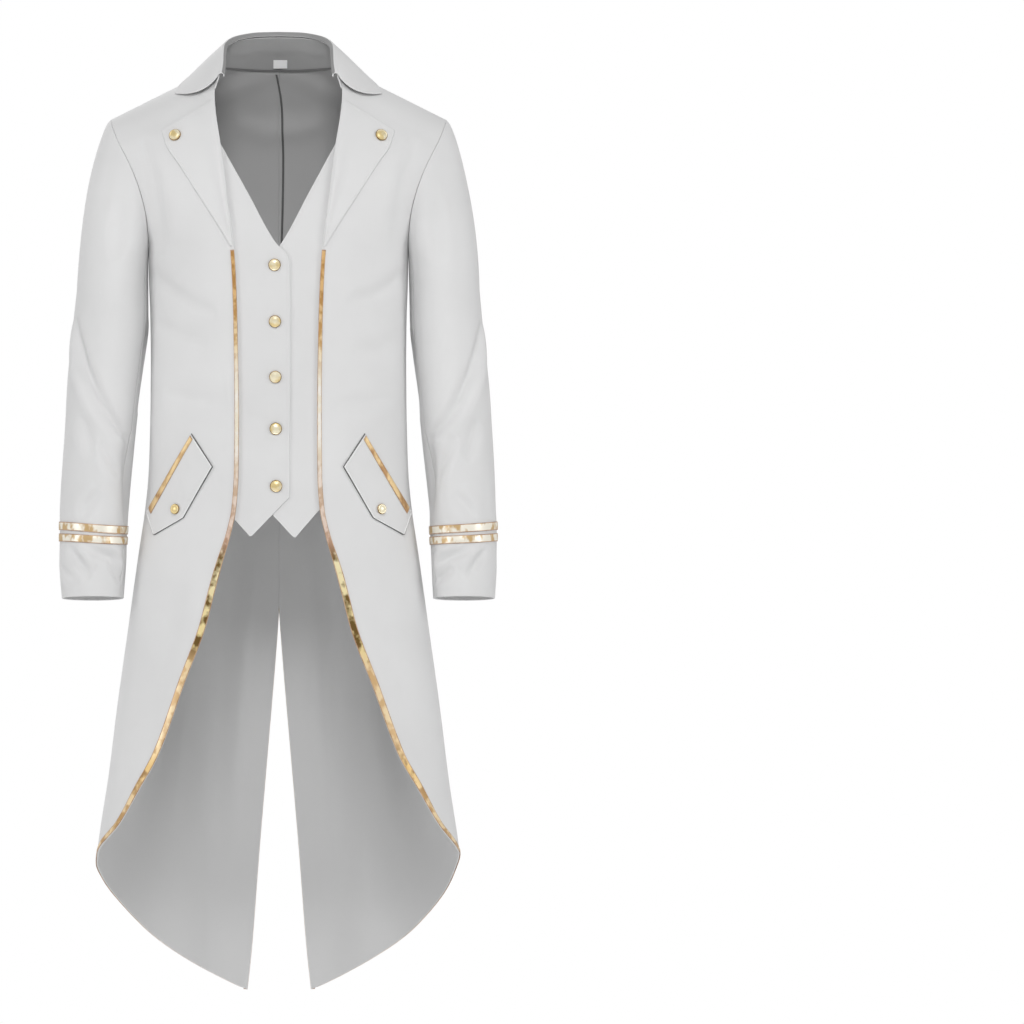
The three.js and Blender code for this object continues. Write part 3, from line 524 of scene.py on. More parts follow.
def arc_sizes(P, wrap):
    """The largest width and length of a grid along its own lines, and its area."""
    across, length = spacing(P).sum(axis=0), spacing(P, 1).sum(axis=1)
    a, b = np.diff(P, axis=0)[:, :-1], np.diff(P, axis=1)[:-1]
    area = np.linalg.norm(np.cross(a, b), axis=-1).sum()
    if wrap:
        close = P[0] - P[-1]
        across = across + np.linalg.norm(close, axis=-1)
        area += np.linalg.norm(np.cross(close[:-1], np.diff(P[-1], axis=0)), axis=-1).sum()
    return across.max() * MM, length.max() * MM, area * MM * MM


def new_object(name, verts, faces, uvs, mats, indices):
    mesh = bpy.data.meshes.new(name)
    mesh.from_pydata((verts * MM).tolist(), [], faces)
    layer = mesh.uv_layers.new(name="UVMap")
    layer.data.foreach_set("uv", (np.asarray(uvs) * MM).ravel())
    for m in mats:
        mesh.materials.append(m)
    mesh.polygons.foreach_set("material_index", indices)
    mesh.polygons.foreach_set("use_smooth", [True] * len(faces))
    mesh.update()
    obj = bpy.data.objects.new(name, mesh)
    bpy.context.scene.collection.objects.link(obj)
    return obj


def shell(name, P, N, thickness, mats, wrap=False, pull=0.45, seams=None, inside_rows=0,
          outlined=False):
    """A thin wall on a grid of points, with rounded edges. Where seams is true, the edge is square
    outside and pressed back inside, as a sewn edge is. The first inside_rows take the inside
    material, which on the collar is a darker grey painted as the shade inside the collar; outlined
    gives it to the rim."""
    P, N = P.copy(), N.copy()
    C, R = P.shape[:2]
    W = np.zeros_like(P)
    limit = np.full(P.shape[:2], 1e9)
    sewn = np.zeros(P.shape[:2], bool) if seams is None else seams

    def towards(edge, inside):
        d = P[inside] - P[edge]
        length = np.linalg.norm(d, axis=-1, keepdims=True)
        W[edge] += d / np.maximum(length, 1e-9)
        limit[edge] = np.minimum(limit[edge], length[..., 0])

    towards((slice(None), 0), (slice(None), 1))
    towards((slice(None), R - 1), (slice(None), R - 2))
    if not wrap:
        towards((0, slice(None)), (1, slice(None)))
        towards((C - 1, slice(None)), (C - 2, slice(None)))
    W = unit(W)
    reach = np.minimum(pull * thickness, 0.6 * limit)
    rim = limit < 1e8
    back_set = np.where(sewn & rim, np.minimum(1.3, 0.8 * limit), 0)
    reach = np.where(sewn, 0, reach)
    P = np.where(rim[..., None], P + W * reach[..., None], P)
    inner = P - N * thickness + W * back_set[..., None]
    u = running(spacing(P).mean(axis=1))
    if wrap:
        u = np.append(u, u[-1] + np.linalg.norm(P[0] - P[-1], axis=-1).mean())
    v = running(spacing(P, 1).mean(axis=0))
    verts = [P.reshape(-1, 3), inner.reshape(-1, 3)]
    count = C * R
    span = C if wrap else C - 1
    i, j = np.meshgrid(np.arange(span), np.arange(R - 1), indexing="ij")
    i, j = i.ravel(), j.ravel()
    at = lambda ii, jj: (ii % C) * R + jj
    outer_quads = np.stack([at(i, j), at(i + 1, j), at(i + 1, j + 1), at(i, j + 1)], axis=1)
    spots = ((i, j), (i + 1, j), (i + 1, j + 1), (i, j + 1))
    uv = np.stack([np.stack([u[a], v[b]], axis=1) for a, b in spots], axis=1)
    inner_quads = outer_quads[:, ::-1] + count
    first = [(k, 0) for k in range(C)]
    if wrap:
        loops = [first, [(k, R - 1) for k in reversed(range(C))]]
    else:
        loops = [
            first + [(C - 1, k) for k in range(1, R)] + [(k, R - 1) for k in reversed(range(C - 1))]
            + [(0, k) for k in reversed(range(1, R - 1))]
        ]
    rim_faces, rim_uv, rim_sewn = [], [], []
    offset = 2 * count
    for loop in loops:
        li, lj = np.array(loop).T
        base, n, w, r = P[li, lj], N[li, lj], W[li, lj], reach[li, lj]
        mid = base - n * thickness / 2
        in_sewn, set_back = (sewn & rim)[li, lj], back_set[li, lj]
        rows = [li * R + lj]
        for phi in (45, 90, 135):
            c, s = math.cos(math.radians(phi)), math.sin(math.radians(phi))
            place = mid + n * (thickness / 2 * c) - w * (r * s)[:, None]
            verts.append(place + w * (set_back * max(0, phi / 90 - 0.9) * 0.6)[:, None])
            rows.append(offset + np.arange(len(loop)))
            offset += len(loop)
        rows.append(li * R + lj + count)
        spot = np.stack([u[li], v[lj]], axis=1)
        nxt = np.roll(np.arange(len(loop)), -1)
        for a, b in zip(rows[:-1], rows[1:]):
            rim_faces.append(np.stack([a[nxt], a, b, b[nxt]], axis=1))
            rim_uv.append(np.stack([spot[nxt], spot, spot, spot[nxt]], axis=1))
            rim_sewn.append(in_sewn & in_sewn[nxt])
    c, r = C // 2, R // 2
    flip = np.dot(np.cross(P[(c + 1) % C, r] - P[c, r], P[c, r + 1] - P[c, r]), N[c, r]) < 0
    quads = np.concatenate([outer_quads, inner_quads] + rim_faces)
    uvs = np.concatenate([uv, uv[:, ::-1]] + rim_uv)
    if flip:
        quads, uvs = quads[:, ::-1], uvs[:, ::-1]
    index = np.zeros(len(quads), dtype=int)
    index[len(outer_quads):2 * len(outer_quads)] = len(mats) - 1
    index[2 * len(outer_quads):][np.concatenate(rim_sewn)] = len(mats) - 1
    lines = index[:len(outer_quads)].reshape(span, R - 1)
    lines[:, :inside_rows] = len(mats) - 1
    if outlined:
        lines[:, 0] = lines[:, -1] = 1
        if not wrap:
            lines[0] = lines[-1] = 1
        index[2 * len(outer_quads):] = 1
    return new_object(name, np.concatenate(verts), quads.tolist(), uvs.reshape(-1, 2), mats, index)


def placed(obj, nodes=()):
    """Puts a piece on the root body, in the place of its solids."""
    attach(obj, "root")
    if nodes:
        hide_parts(*nodes)
    return obj


def coat_piece(name, P, N, node, held, carriers, mats=None, thickness=CLOTH, slot="cloth",
               wrap=False, **rim):
    """A sheet of the coat: its shell, its solid, and its size laid flat."""
    # The inside of each sheet takes the greys by height that paint the light and shade inside the
    # coat.
    obj = shell(name, P, N, thickness, mats or [CLOTH_MAT, INSIDE_LIGHT_AND_SHADE], wrap=wrap, **rim)
    width, length, area = arc_sizes(P, wrap)
    width, length = round(max(width, 0.01), 3), round(length, 3)
    area = min(round(area, 5), width * length)
    placed(obj, [node])


def gold_strip(name, P, N, gold, node, carrier, wrap=False):
    coat_piece(name, P, N, node, "laid", [carrier], [gold, GOLD_EDGE], TRIM, "gold_trim",
               wrap, pull=0.3, outlined=True)


# Finishes.


def material(name):
    m = bpy.data.materials.new(name)
    m.use_nodes = True
    return m, m.node_tree, m.node_tree.nodes["Principled BSDF"]


def set_inputs(node, **values):
    """Sets inputs by name. An underscore stands for a space."""
    for name, value in values.items():
        node.inputs[name.replace("_", " ")].default_value = value
    return node


def add_node(tree, kind, **values):
    return set_inputs(tree.nodes.new("ShaderNode" + kind), **values)


def wire(source, output, target, socket):
    source.id_data.links.new(source.outputs[output], target.inputs[socket])


def linear(value):
    c = value / 255
    return c / 12.92 if c <= 0.04045 else ((c + 0.055) / 1.055) ** 2.4


def rgb(r, g, b):
    return linear(r), linear(g), linear(b), 1.0


def ramp_node(tree, stops):
    """A colour ramp from (place, tone) pairs."""
    node = add_node(tree, "ValToRGB")
    elements = node.color_ramp.elements
    while len(elements) < len(stops):
        elements.new(0.5)
    for element, (place, tone) in zip(elements, stops):
        element.position = place
        element.color = rgb(*tone)
    return node


def by_height(tree, coords, top, tables):
    """A colour ramp up the coat for each table of (metres, tone) pairs."""
    bottom = -1.2
    split = add_node(tree, "SeparateXYZ")
    wire(coords, "Object", split, "Vector")
    height = add_node(tree, "MapRange", From_Min=bottom, From_Max=top)
    wire(split, "Z", height, "Value")
    ramps = []
    for tones in tables:
        stops = [((z - bottom) / (top - bottom), tone) for z, tone in tones]
        ramps.append(ramp_node(tree, stops))
        wire(height, "Result", ramps[-1], "Fac")
    return ramps


def fine_relief(tree, shader, source, output, strength, distance):
    bump = add_node(tree, "Bump", Strength=strength, Distance=distance)
    wire(source, output, bump, "Height")
    wire(bump, "Normal", shader, "Normal")


def cloth_material(name, light=None, dark=None, heights=None):
    """Woven cloth in soft patches of two greys, or in greys by height."""
    m, tree, shader = material(name)
    coords = add_node(tree, "TexCoord")
    if heights is None:
        noise = add_node(tree, "TexNoise", Scale=9, Detail=3)
        wire(coords, "Object", noise, "Vector")
        ramp = ramp_node(tree, [(0.3, (dark,) * 3), (0.7, (light,) * 3)])
        wire(noise, "Fac", ramp, "Fac")
    else:
        ramp, = by_height(tree, coords, 0.1, [[(z, (grey,) * 3) for z, grey in heights]])
    wire(ramp, "Color", shader, "Base Color")
    set_inputs(shader, Roughness=0.78, Sheen_Weight=0.12, Sheen_Roughness=0.5)
    turn = add_node(tree, "Mapping", Rotation=(0, 0, math.radians(63)))
    wire(coords, "UV", turn, "Vector")
    twill = add_node(tree, "TexWave", Scale=230, Distortion=0.4)
    wire(turn, "Vector", twill, "Vector")
    fuzz = add_node(tree, "TexNoise", Scale=900)
    wire(coords, "UV", fuzz, "Vector")
    both = add_node(tree, "Math")
    both.operation = "ADD"
    wire(twill, "Fac", both, 0)
    wire(fuzz, "Fac", both, 1)
    fine_relief(tree, shader, both, "Value", 0.05, 0.0004)
    return m


def gold_material(name, dark, light, scale, rough, metal, spread=(0.42, 0.58)):
    """Patches of a dark and a light gold: the light patches paint glints and the dark patches paint
    dark reflections on the gold. Each is one tone, or tones by height as (metres, tone) pairs. The
    scale is a number for each axis."""
    m, tree, shader = material(name)
    coords = add_node(tree, "TexCoord")
    stretch = add_node(tree, "Mapping", Scale=scale)
    wire(coords, "Object", stretch, "Vector")
    noise = add_node(tree, "TexNoise", Scale=1, Detail=2)
    wire(stretch, "Vector", noise, "Vector")
    if isinstance(dark[0], tuple):
        patches = add_node(tree, "MapRange", From_Min=spread[0], From_Max=spread[1])
        wire(noise, "Fac", patches, "Value")
        blend = add_node(tree, "Mix")
        blend.data_type = "RGBA"
        wire(patches, "Result", blend, "Factor")
        for socket, ramp in zip("AB", by_height(tree, coords, -0.2, (dark, light))):
            wire(ramp, "Color", blend, socket)
        wire(blend, "Result", shader, "Base Color")
    else:
        ramp = ramp_node(tree, [(spread[0], dark), (spread[1], light)])
        wire(noise, "Fac", ramp, "Fac")
        wire(ramp, "Color", shader, "Base Color")
    set_inputs(shader, Metallic=metal, Roughness=rough)
    fine_relief(tree, shader, noise, "Fac", 0.25, 0.0006)
    return m


CLOTH_MAT = cloth_material("coat_cloth", 230, 225)
# The inside of the coat is the same cloth; its greys by height paint the light and shade inside the
# coat, darker at the neck and the hem and lighter at the waist.
INSIDE_LIGHT_AND_SHADE = cloth_material("coat_inside_painted_light", heights=(
    (-1.1, 205), (-0.8, 212), (-0.6, 232), (-0.35, 224), (-0.15, 204), (0.0, 198)))
# A darker grey copy of the coat cloth for the inside of the collar: painted shade inside the collar.
COLLAR_INSIDE_SHADE = cloth_material("collar_inside_shade", 158, 151)
# A dark grey for thin strips along the centre back and neck seams: painted shade in the seams.
SEAM_SHADE = cloth_material("seam_painted_shade", 112, 106)
# A dark grey for a sheet just beyond the flap's edges: painted shadow round the flap.
FLAP_SHADOW = cloth_material("flap_painted_shadow", 108, 102)
VEST_MAT = cloth_material("vest_cloth", 228, 223)
# A darker copy of the waistcoat cloth for its inside: painted shade.
VEST_INSIDE_SHADE = cloth_material("vest_inside_shade", 180, 172)
# Height in metres, then the dark and the light gold there; the light gold paints glints and the dark
# gold paints dark reflections.
FOIL_TONES = (
    (-1.18, (196, 156, 100), (250, 226, 178)),
    (-0.93, (204, 164, 110), (248, 224, 180)),
    (-0.88, (150, 112, 60), (226, 190, 120)),
    (-0.84, (226, 190, 140), (250, 228, 188)),
    (-0.75, (220, 182, 130), (248, 222, 176)),
    (-0.72, (112, 84, 34), (248, 226, 160)),
    (-0.61, (118, 90, 38), (252, 240, 196)),
    (-0.585, (196, 158, 132), (236, 212, 196)),
    (-0.5, (222, 196, 168), (246, 232, 218)),
    (-0.46, (248, 238, 216), (255, 250, 240)),
    (-0.38, (250, 242, 222), (255, 250, 240)),
    (-0.33, (206, 162, 104), (246, 224, 180)),
    (-0.26, (190, 142, 80), (232, 190, 130)),
)
FOIL = gold_material(
    "gold_foil", tuple((z, dark) for z, dark, _ in FOIL_TONES),
    tuple((z, light) for z, _, light in FOIL_TONES), (80, 80, 75), 0.36, 0.18)
RIBBON = gold_material(
    "gold_ribbon", (212, 180, 130), (255, 249, 234), (90, 90, 60), 0.36, 0.18, (0.4, 0.52))
CORD_GOLD = gold_material("gold_cord", (190, 146, 98), (242, 212, 158), (70, 70, 50), 0.4, 0.3)
GOLD_EDGE = gold_material("gold_edge", (180, 142, 112), (206, 172, 142), (90, 90, 90), 0.45, 0.15)
BRASS = gold_material("button_brass", (240, 216, 156), (255, 245, 214), (80, 80, 80), 0.3, 0.35)
# A darker brass for the outermost ring of each button: painted shade round the rim.
BRASS_RIM_SHADE = gold_material("button_rim_shade", (128, 98, 52), (168, 132, 78), (80, 80, 80), 0.34, 0.6)
LABEL_MAT = cloth_material("label_cloth", 250, 246)
THREAD = cloth_material("sewing_thread", 236, 230)
# A paler cloth for the raised cord round the flap: painted highlight along its edge.
WELT_HIGHLIGHT = cloth_material("flap_welt_highlight", 245, 241)

# Coat body, sleeves and the gold edging that follows their edges.


def edge_strip(p, n, inside, width):
    """A gold strip along a line of points, turned in over the cloth."""
    columns, lift, beyond = 9, 0.15, 0.3
    tangent = unit(np.gradient(p, axis=0))
    way = inside - p
    way = unit(way - tangent * np.sum(way * tangent, axis=-1, keepdims=True))
    s = np.linspace(0, 1, columns)[:, None, None]
    width = np.asarray(width)[None, :, None]
    crown = 0.25 * np.sin(np.pi * s)
    grid = p[None] + way[None] * (s * (width + beyond) - beyond) + n[None] * (lift + TRIM + crown)
    return grid, np.broadcast_to(n[None], grid.shape).copy()


SIDES = ((1, "left"), (-1, "right"))
for sign, word in SIDES:
    front, fn, back, bn, seam = body_grids(sign)
    seams = np.zeros(front.shape[:2], bool)
    seams[-1] = True
    seams[:, -1] = True
    wearer = ["wearer's shoulders"]
    coat_piece("coat_front_" + word, front, fn, "front_" + word, "hung", wearer, seams=seams)
    seams[0] = (back[0, :, 2] > SLIT_TOP) & (back[0, :, 2] < 75)
    seams[:, 0] = False
    coat_piece("coat_back_" + word, back, bn, "back_" + word, "hung", wearer, seams=seams)
    P, N = sleeve_grid(sign, front, fn, back, bn, seam)
    first, last = 12 * STEPS, 18 * STEPS
    under = np.arange(first, last + 1)
    top = np.arange(last, first + COLUMNS * STEPS + 1) % (COLUMNS * STEPS)
    for name, node, columns in (
        ("sleeve_upper_", "sleeve_top_", top), ("sleeve_lower_", "sleeve_under_", under),
    ):
        seams = np.zeros((len(columns), P.shape[1]), bool)
        seams[0] = seams[-1] = True
        coat_piece(name + word, P[columns], N[columns], node + word, "hung",
                   ["coat_front_" + word], seams=seams)

    # Edging: up the front, round the side seam along the hems, and down the slit.
    rows, slit = front[0, :, 2] < -207, back[0, :, 2] < -655
    width = curve(
        [-1180, -960, -900, -640, -570, -207], [6, 6.5, 8.5, 9, 6, 5], front[0, rows, 2])
    hem, hem_normal, within = (
        np.concatenate([a[2:, k], b[-2::-1, k]])
        for a, b, k in ((back, front, 0), (bn, fn, 0), (back, front, 3))
    )
    for name, line, normal, inside, width, carrier in (
        ("front", front[0, rows], fn[0, rows], front[3, rows], width, "coat_front_"),
        ("hem", hem, hem_normal, within, np.full(len(hem), 5.0), "coat_back_"),
        ("slit", back[0, slit], bn[0, slit], back[3, slit],
         mix(5, 9, np.linspace(0, 1, slit.sum())), "coat_back_"),
    ):
        grid, gn = edge_strip(line, normal, inside, width)
        gold_strip(f"edging_{name}_{word}", grid, gn, FOIL, f"{name}_trim_{word}", carrier + word)

    turn = np.linspace(0, 2 * np.pi, 140, endpoint=False)[:, None]
    for name, outer_z, inner_z, half in (
        ("upper", -566.5, -572.5, 5.4), ("lower", -581.5, -586, 5.2),
    ):
        middle = mix(inner_z, outer_z, (1 + np.cos(turn)) / 2)
        zz = middle + np.linspace(-half, half, 11)[None, :] + 0.2 * np.sin(3 * turn + sign)
        p = sleeve_ring_z(turn, zz)
        n = sleeve_normal(turn, zz)
        lift = sleeve_relief(sign, turn + 0 * zz, zz, np.ones_like(zz))
        crown = 0.25 * np.cos(np.linspace(-1, 1, 11) * np.pi / 2)[None, :]
        p = p + n * (lift + 0.45 + TRIM + crown)[..., None]
        mirror(sign, p, n)
        gold_strip(f"cuff_ribbon_{name}_{word}", p, n, RIBBON, f"cuff_band_{name}_{word}",
                   "sleeve_upper_" + word, wrap=True)

# Lapels, waistcoat fronts, flaps, half belt and slit cap, laid over the body.


def stitches(name, P, N):
    """Short raised threads along a line of points."""
    pitch, length, radius = 3.1, 2.2, 0.27
    run = running(spacing(P))
    starts = np.arange(0.6, run[-1] - length, pitch)
    at = lambda v, d: np.stack([np.interp(d, run, v[:, k]) for k in range(3)], axis=-1)
    ts = np.array([0, 0.12, 0.5, 0.88, 1.0])
    thick = np.array([0.25, 0.8, 1, 0.8, 0.25]) * radius
    lift = np.array([-0.1, 0.1, 0.2, 0.1, -0.1])
    d = starts[:, None] + ts[None, :] * length
    p, n = at(P, d), unit(at(N, d))
    t = unit(at(P, d + 0.3) - at(P, d - 0.3))
    b = unit(np.cross(t, n))
    sides = 6
    a = (np.arange(sides) * 2 * np.pi / sides)[:, None]
    thick, lift = thick[:, None, None], lift[:, None, None]
    ring = p[:, :, None] + n[:, :, None] * (lift + thick * np.sin(a))
    ring = ring + b[:, :, None] * thick * np.cos(a)
    verts = ring.reshape(-1, 3)
    faces = []
    for k in range(len(starts)):
        base = k * len(ts) * sides
        for j in range(len(ts) - 1):
            for q in range(sides):
                m = (q + 1) % sides
                o = base + j * sides
                faces.append([o + q, o + m, o + sides + m, o + sides + q])
        faces.append([base + q for q in reversed(range(sides))])
        faces.append([base + (len(ts) - 1) * sides + q for q in range(sides)])
    loops = [i for f in faces for i in f]
    placed(new_object(name, verts, faces, verts[loops][:, [0, 2]], [THREAD], [0] * len(faces)))


def welt(name, P, N, radius):
    """A half-round cord of cloth along a line of points, in a paler cloth that paints the highlight
    along its top.
    """
    t = unit(np.gradient(P, axis=0))
    b = unit(np.cross(t, N))
    a = np.radians(np.linspace(-20, 200, 9))[:, None, None]
    normal = b[None] * np.cos(a) + N[None] * np.sin(a)
    placed(shell(name, P[None] + radius * normal, normal, 0.3, [WELT_HIGHLIGHT]))


def along_path(corners, n):
    """Evenly spaced points along a line of corners."""
    c = np.array(corners, float)
    run = running(spacing(c))
    d = np.unique(np.concatenate([np.linspace(0, run[-1], n), run]))
    return np.interp(d, run, c[:, 0]), np.interp(d, run, c[:, 1])


def laid(side, columns, rows, place, out, ease=0.4):
    across, along = np.meshgrid(graded(columns, ease), graded(rows, ease), indexing="ij")
    return on_body(side, *place(across, along), out(across, along))


def line_on(side, place, out, corners, n):
    """The points and normals of a path over a laid piece."""
    u, v = along_path(corners, n)
    return on_body(side, *place(u, v), out(u, v))


for sign, word in SIDES:
    def lapel_place(across, along, sign=sign):
        x = mix(read(LAPEL_ROLL, "x", along), read(LAPEL_EDGE, "x", along), across)
        z = mix(read(LAPEL_ROLL, "z", along), read(LAPEL_EDGE, "z", along), across)
        return sign * x, z

    def lapel_out(across, along):
        roll = np.exp(-((across - 0.16) / 0.2) ** 2) * np.sin(np.pi * np.clip(along, 0, 1)) ** 0.7
        fall = -1.4 * smooth((0.1 - across) / 0.1) * np.sin(np.pi * along) ** 0.5
        return LAPEL_GAP + CLOTH + 2.6 * roll + fall

    P, N = laid(-1, 40, 70, lapel_place, lapel_out)
    carrier = "coat_front_" + word
    coat_piece("lapel_cloth_" + word, P, N, "lapel_" + word, "folded", [carrier])
    path = [(0.8, 0.06), (0.93, 0.3), (0.955, 0.978), (0.05, 0.978)]
    stitches("lapel_seam_" + word, *line_on(-1, lapel_place, lapel_out, path, 120))

    def flap_place(across, along, sign=sign):
        sx = mix(FLAP_TOP[0], FLAP_INNER[0], across)
        sz = mix(FLAP_TOP[1], FLAP_INNER[1], across)
        low = across < 0.4
        f = np.where(low, across / 0.4, (across - 0.4) / 0.6)
        ex = np.where(low, mix(FLAP_END[0], FLAP_TIP[0], f), mix(FLAP_TIP[0], FLAP_LOW[0], f))
        ez = np.where(low, mix(FLAP_END[1], FLAP_TIP[1], f), mix(FLAP_TIP[1], FLAP_LOW[1], f))
        return sign * mix(sx, ex, along), mix(sz, ez, along)

    def flap_out(across, along):
        lift = 0.9 * smooth((across - 0.3) / 0.7) + 0.5 * np.sin(4 * along + 1) * across
        return REST_GAP + CLOTH + lift

    P, N = laid(-1, 41, 56, flap_place, flap_out)
    coat_piece("flap_cloth_" + word, P, N, "pocket_flap_" + word, "hung", [carrier])
    path = [(0.2, 0.03), (0.93, 0.03), (0.93, 0.968), (0.4, 0.968), (0.16, 0.968)]
    stitches("flap_seam_" + word, *line_on(-1, flap_place, flap_out, path, 120))
    # The raised cord round the flap is paler than the cloth: painted highlight along the edge.
    path = [(0.06, 0.008), (0.985, 0.008), (0.985, 0.992), (0.4, 0.992), (0.03, 0.992),
            (0.012, 0.965)]
    welt("flap_welt_" + word, *line_on(-1, flap_place, flap_out, path, 160), 0.75)

    # A dark sheet under the flap, showing just past its edges: painted shadow round the flap.
    def flap_shadow_place(across, along):
        return flap_place(-0.01 + 1.03 * across, -0.012 + 1.026 * along)

    P, N = laid(-1, 30, 40, flap_shadow_place, lambda a, b: 1.1 + 0 * a)
    placed(shell("flap_facing_" + word, P, N, 0.9, [FLAP_SHADOW]))

    def piping_place(across, along):
        return flap_place(0.005 + 0.12 * across, 0.008 + 0.925 * along)

    def piping_out(across, along):
        return REST_GAP + CLOTH + 0.1 + TRIM + 0.9 * np.sin(np.pi * across)

    P, N = laid(-1, 11, 70, piping_place, piping_out, 0.2)
    gold_strip("flap_cord_" + word, P, N, CORD_GOLD, "flap_piping_" + word, "flap_cloth_" + word)

VEST_TOP_OUT = -CLOTH - REST_GAP
VEST_COLUMNS = 56


def vest_grid(over):
    side = -1 if over else 1
    edge = "over" if over else "under"
    across = graded(VEST_COLUMNS, 0.4)[:, None]
    f = np.concatenate([[0, 0.015], np.linspace(0.035, 1, 24)])[None, :]
    hem = VEST_HEM[1]
    hem_x = np.interp(across, hem[:, 0], hem[:, 1 if over else 2])
    hem_z = np.interp(across, hem[:, 0], hem[:, 3 if over else 4])
    width = lambda z: mix(read(VEST_EDGE, edge, z), side * read(VEST_EDGE, "outer", z), across)
    low_x, low_z = mix(hem_x, width(-480 + 0 * across), f), mix(hem_z, -480 + 0 * across, f)
    z = np.concatenate([np.linspace(-480, -16, 100)[1:], [-13.5, -12]])[None, :]
    x = width(z)
    drop = np.where(z > -60, 0.45 * (np.abs(x) - 108) * (z + 60) / 50, 0)
    xs = np.concatenate([low_x, x], axis=1)
    zs = np.concatenate([low_z, z - drop], axis=1)
    lift = 0 * xs if over else -2.1 * (1 - smooth((xs - 15) / 30))
    lift = lift + crease_field(xs, zs, VEST_FOLDS)
    return on_body(-1, xs, zs, VEST_TOP_OUT + lift)


for over, word in ((True, "right"), (False, "left")):
    P, N = vest_grid(over)
    # The inside of each waistcoat front takes a darker grey: painted shade.
    coat_piece("vest_cloth_" + word, P, N, "vest_front_" + word, "hung",
               ["coat_front_" + word], [VEST_MAT, VEST_INSIDE_SHADE], VEST_CLOTH)
    span = np.linalg.norm(P[-1] - P[0], axis=-1)
    inset = 3.2 / span
    place = graded(VEST_COLUMNS, 0.4)
    line, normal = (
        np.array([[np.interp(inset[j], place, G[:, j, k]) for k in range(3)]
                  for j in range(2, G.shape[1])])
        for G in (P, N)
    )
    stitches("vest_seam_" + word, line, normal)


def tab_place(across, along):
    x = mix(-92, 92, across)
    end = np.maximum(0, np.abs(x) - 78) / 14
    return x, mix(-429, -380.5 - 14 * end, along)


def tab_out(across, along):
    return REST_GAP + CLOTH + 0 * across


P, N = laid(1, 90, 26, tab_place, tab_out)
BACKS = ["coat_back_left", "coat_back_right"]
coat_piece("half_belt", P, N, "back_tab", "laid", BACKS)
path = [(0.5, 0.07), (0.98, 0.07), (0.98, 0.93), (0.02, 0.93), (0.02, 0.07), (0.5, 0.07)]
stitches("belt_seam", *line_on(1, tab_place, tab_out, path, 160))

P, N = laid(
    1, 22, 20, lambda a, b: (mix(-9.5, 9.5, a), mix(-673, -653, b)),
    lambda a, b: 2.0 + TRIM + 0.3 * np.sin(np.pi * a), 0.2)
coat_piece("slit_patch", P, N, "slit_cap", "laid", BACKS, [FOIL], TRIM, "gold_trim", pull=0.3)

# Collar.


def seat_at(station):
    """A point of the collar's seam, round the back neck and down the front edge."""
    rows = COLLAR[1] if station <= 5 else COLLAR[1][5:]
    level = np.array([float(curve(rows[:, 0], rows[:, 1], station))])
    if station > 5:
        return body_point(-1, angle_at(level, front_edge_x(level)), level)[0]
    p = body_point(1, angle_at(level, neck_x(level)), level)[0]
    if station < 0.02:
        p[0] = 0
    return p


def collar_lines(last):
    """Seat, fold and hem of the collar from side to side, and the station of each point."""
    s = np.arange(0, last + 1e-6, 0.125)
    seat = np.array([seat_at(k) for k in s])
    stations = COLLAR[1][:last + 1, 0]

    def line(name):
        return np.stack([curve(stations, read(COLLAR, name + k, stations), s) for k in "XYZ"], axis=1)

    def join(a):
        return np.concatenate([(a[1:] * (-1, 1, 1))[::-1], a])

    return join(seat), join(line("fold")), join(line("hem")), np.concatenate([s[:0:-1], s])


seat, fold, hem, run = collar_lines(9)
rise = unit(fold - seat)
top = fold + rise * np.where(fold[:, 1] < -5, -6.4, -5.6)[:, None]
f = graded(16, 0.3)[None, :, None]
P = seat[:, None] * (1 - f) + top[:, None] * f
N = gradient_normals(P)
N = facing(N, P, xyz(0, -8, P[..., 2] - 6))
crease = 1.1 * np.exp(-((f[..., 0] - 0.56 - 0.05 * np.sin(run[:, None] * 2.1)) / 0.09) ** 2)
P = P - N * (crease * smooth(3.6 - run[:, None]))[..., None]
seams = np.zeros(P.shape[:2], bool)
seams[:, 0] = True
# The collar's inside takes a darker grey: painted shade inside the collar.
COLLAR_MATS = [CLOTH_MAT, COLLAR_INSIDE_SHADE]
coat_piece("collar_band", P, N, "collar_stand", "hung", BACKS, COLLAR_MATS, seams=seams)

# A thin dark strip round the inside of the neck seam: painted shade in the seam.
half = len(seat) // 2
near = np.arange(half - 34, half + 35)
p = seat[near]
inward = unit(xyz(-p[:, 0], -8 - p[:, 1], 0))
across = np.linspace(-1.5, 1.5, 5)
P = p[:, None] + inward[:, None] * (CLOTH + 0.5)
P = P + xyz(0, 0, across - 0.8)[None]
N = np.repeat(inward[:, None], len(across), axis=1)
placed(shell("neck_seam_shade", P, N, 0.8, [SEAM_SHADE]))

# A thin dark strip down the inside of the centre back seam: painted shade in the seam.
down = np.linspace(22, -430, 120)
bend_x = curve(
    [-430, -300, -200, -90, -60, -29, -8, 13, 22], [0, 1.5, 3.5, 5.6, 5, 4.2, 2.6, -1.6, -3.6], down)
aside = np.linspace(-1.4, 1.4, 7)
X = bend_x[None] + aside[:, None]
P, N = on_body(1, X, down[None], -CLOTH - 0.3 - 0.8 * np.cos(aside * 0.9)[:, None] + 0 * X)
placed(shell("back_seam_shade", P, -N, 0.7, [SEAM_SHADE]))

seat, fold, hem, run = collar_lines(8)
outward = hem - fold
outward[:, 2] = 0
outward = unit(outward)
brow = fold + 3.4 * outward + np.array([0, 0, -0.6])
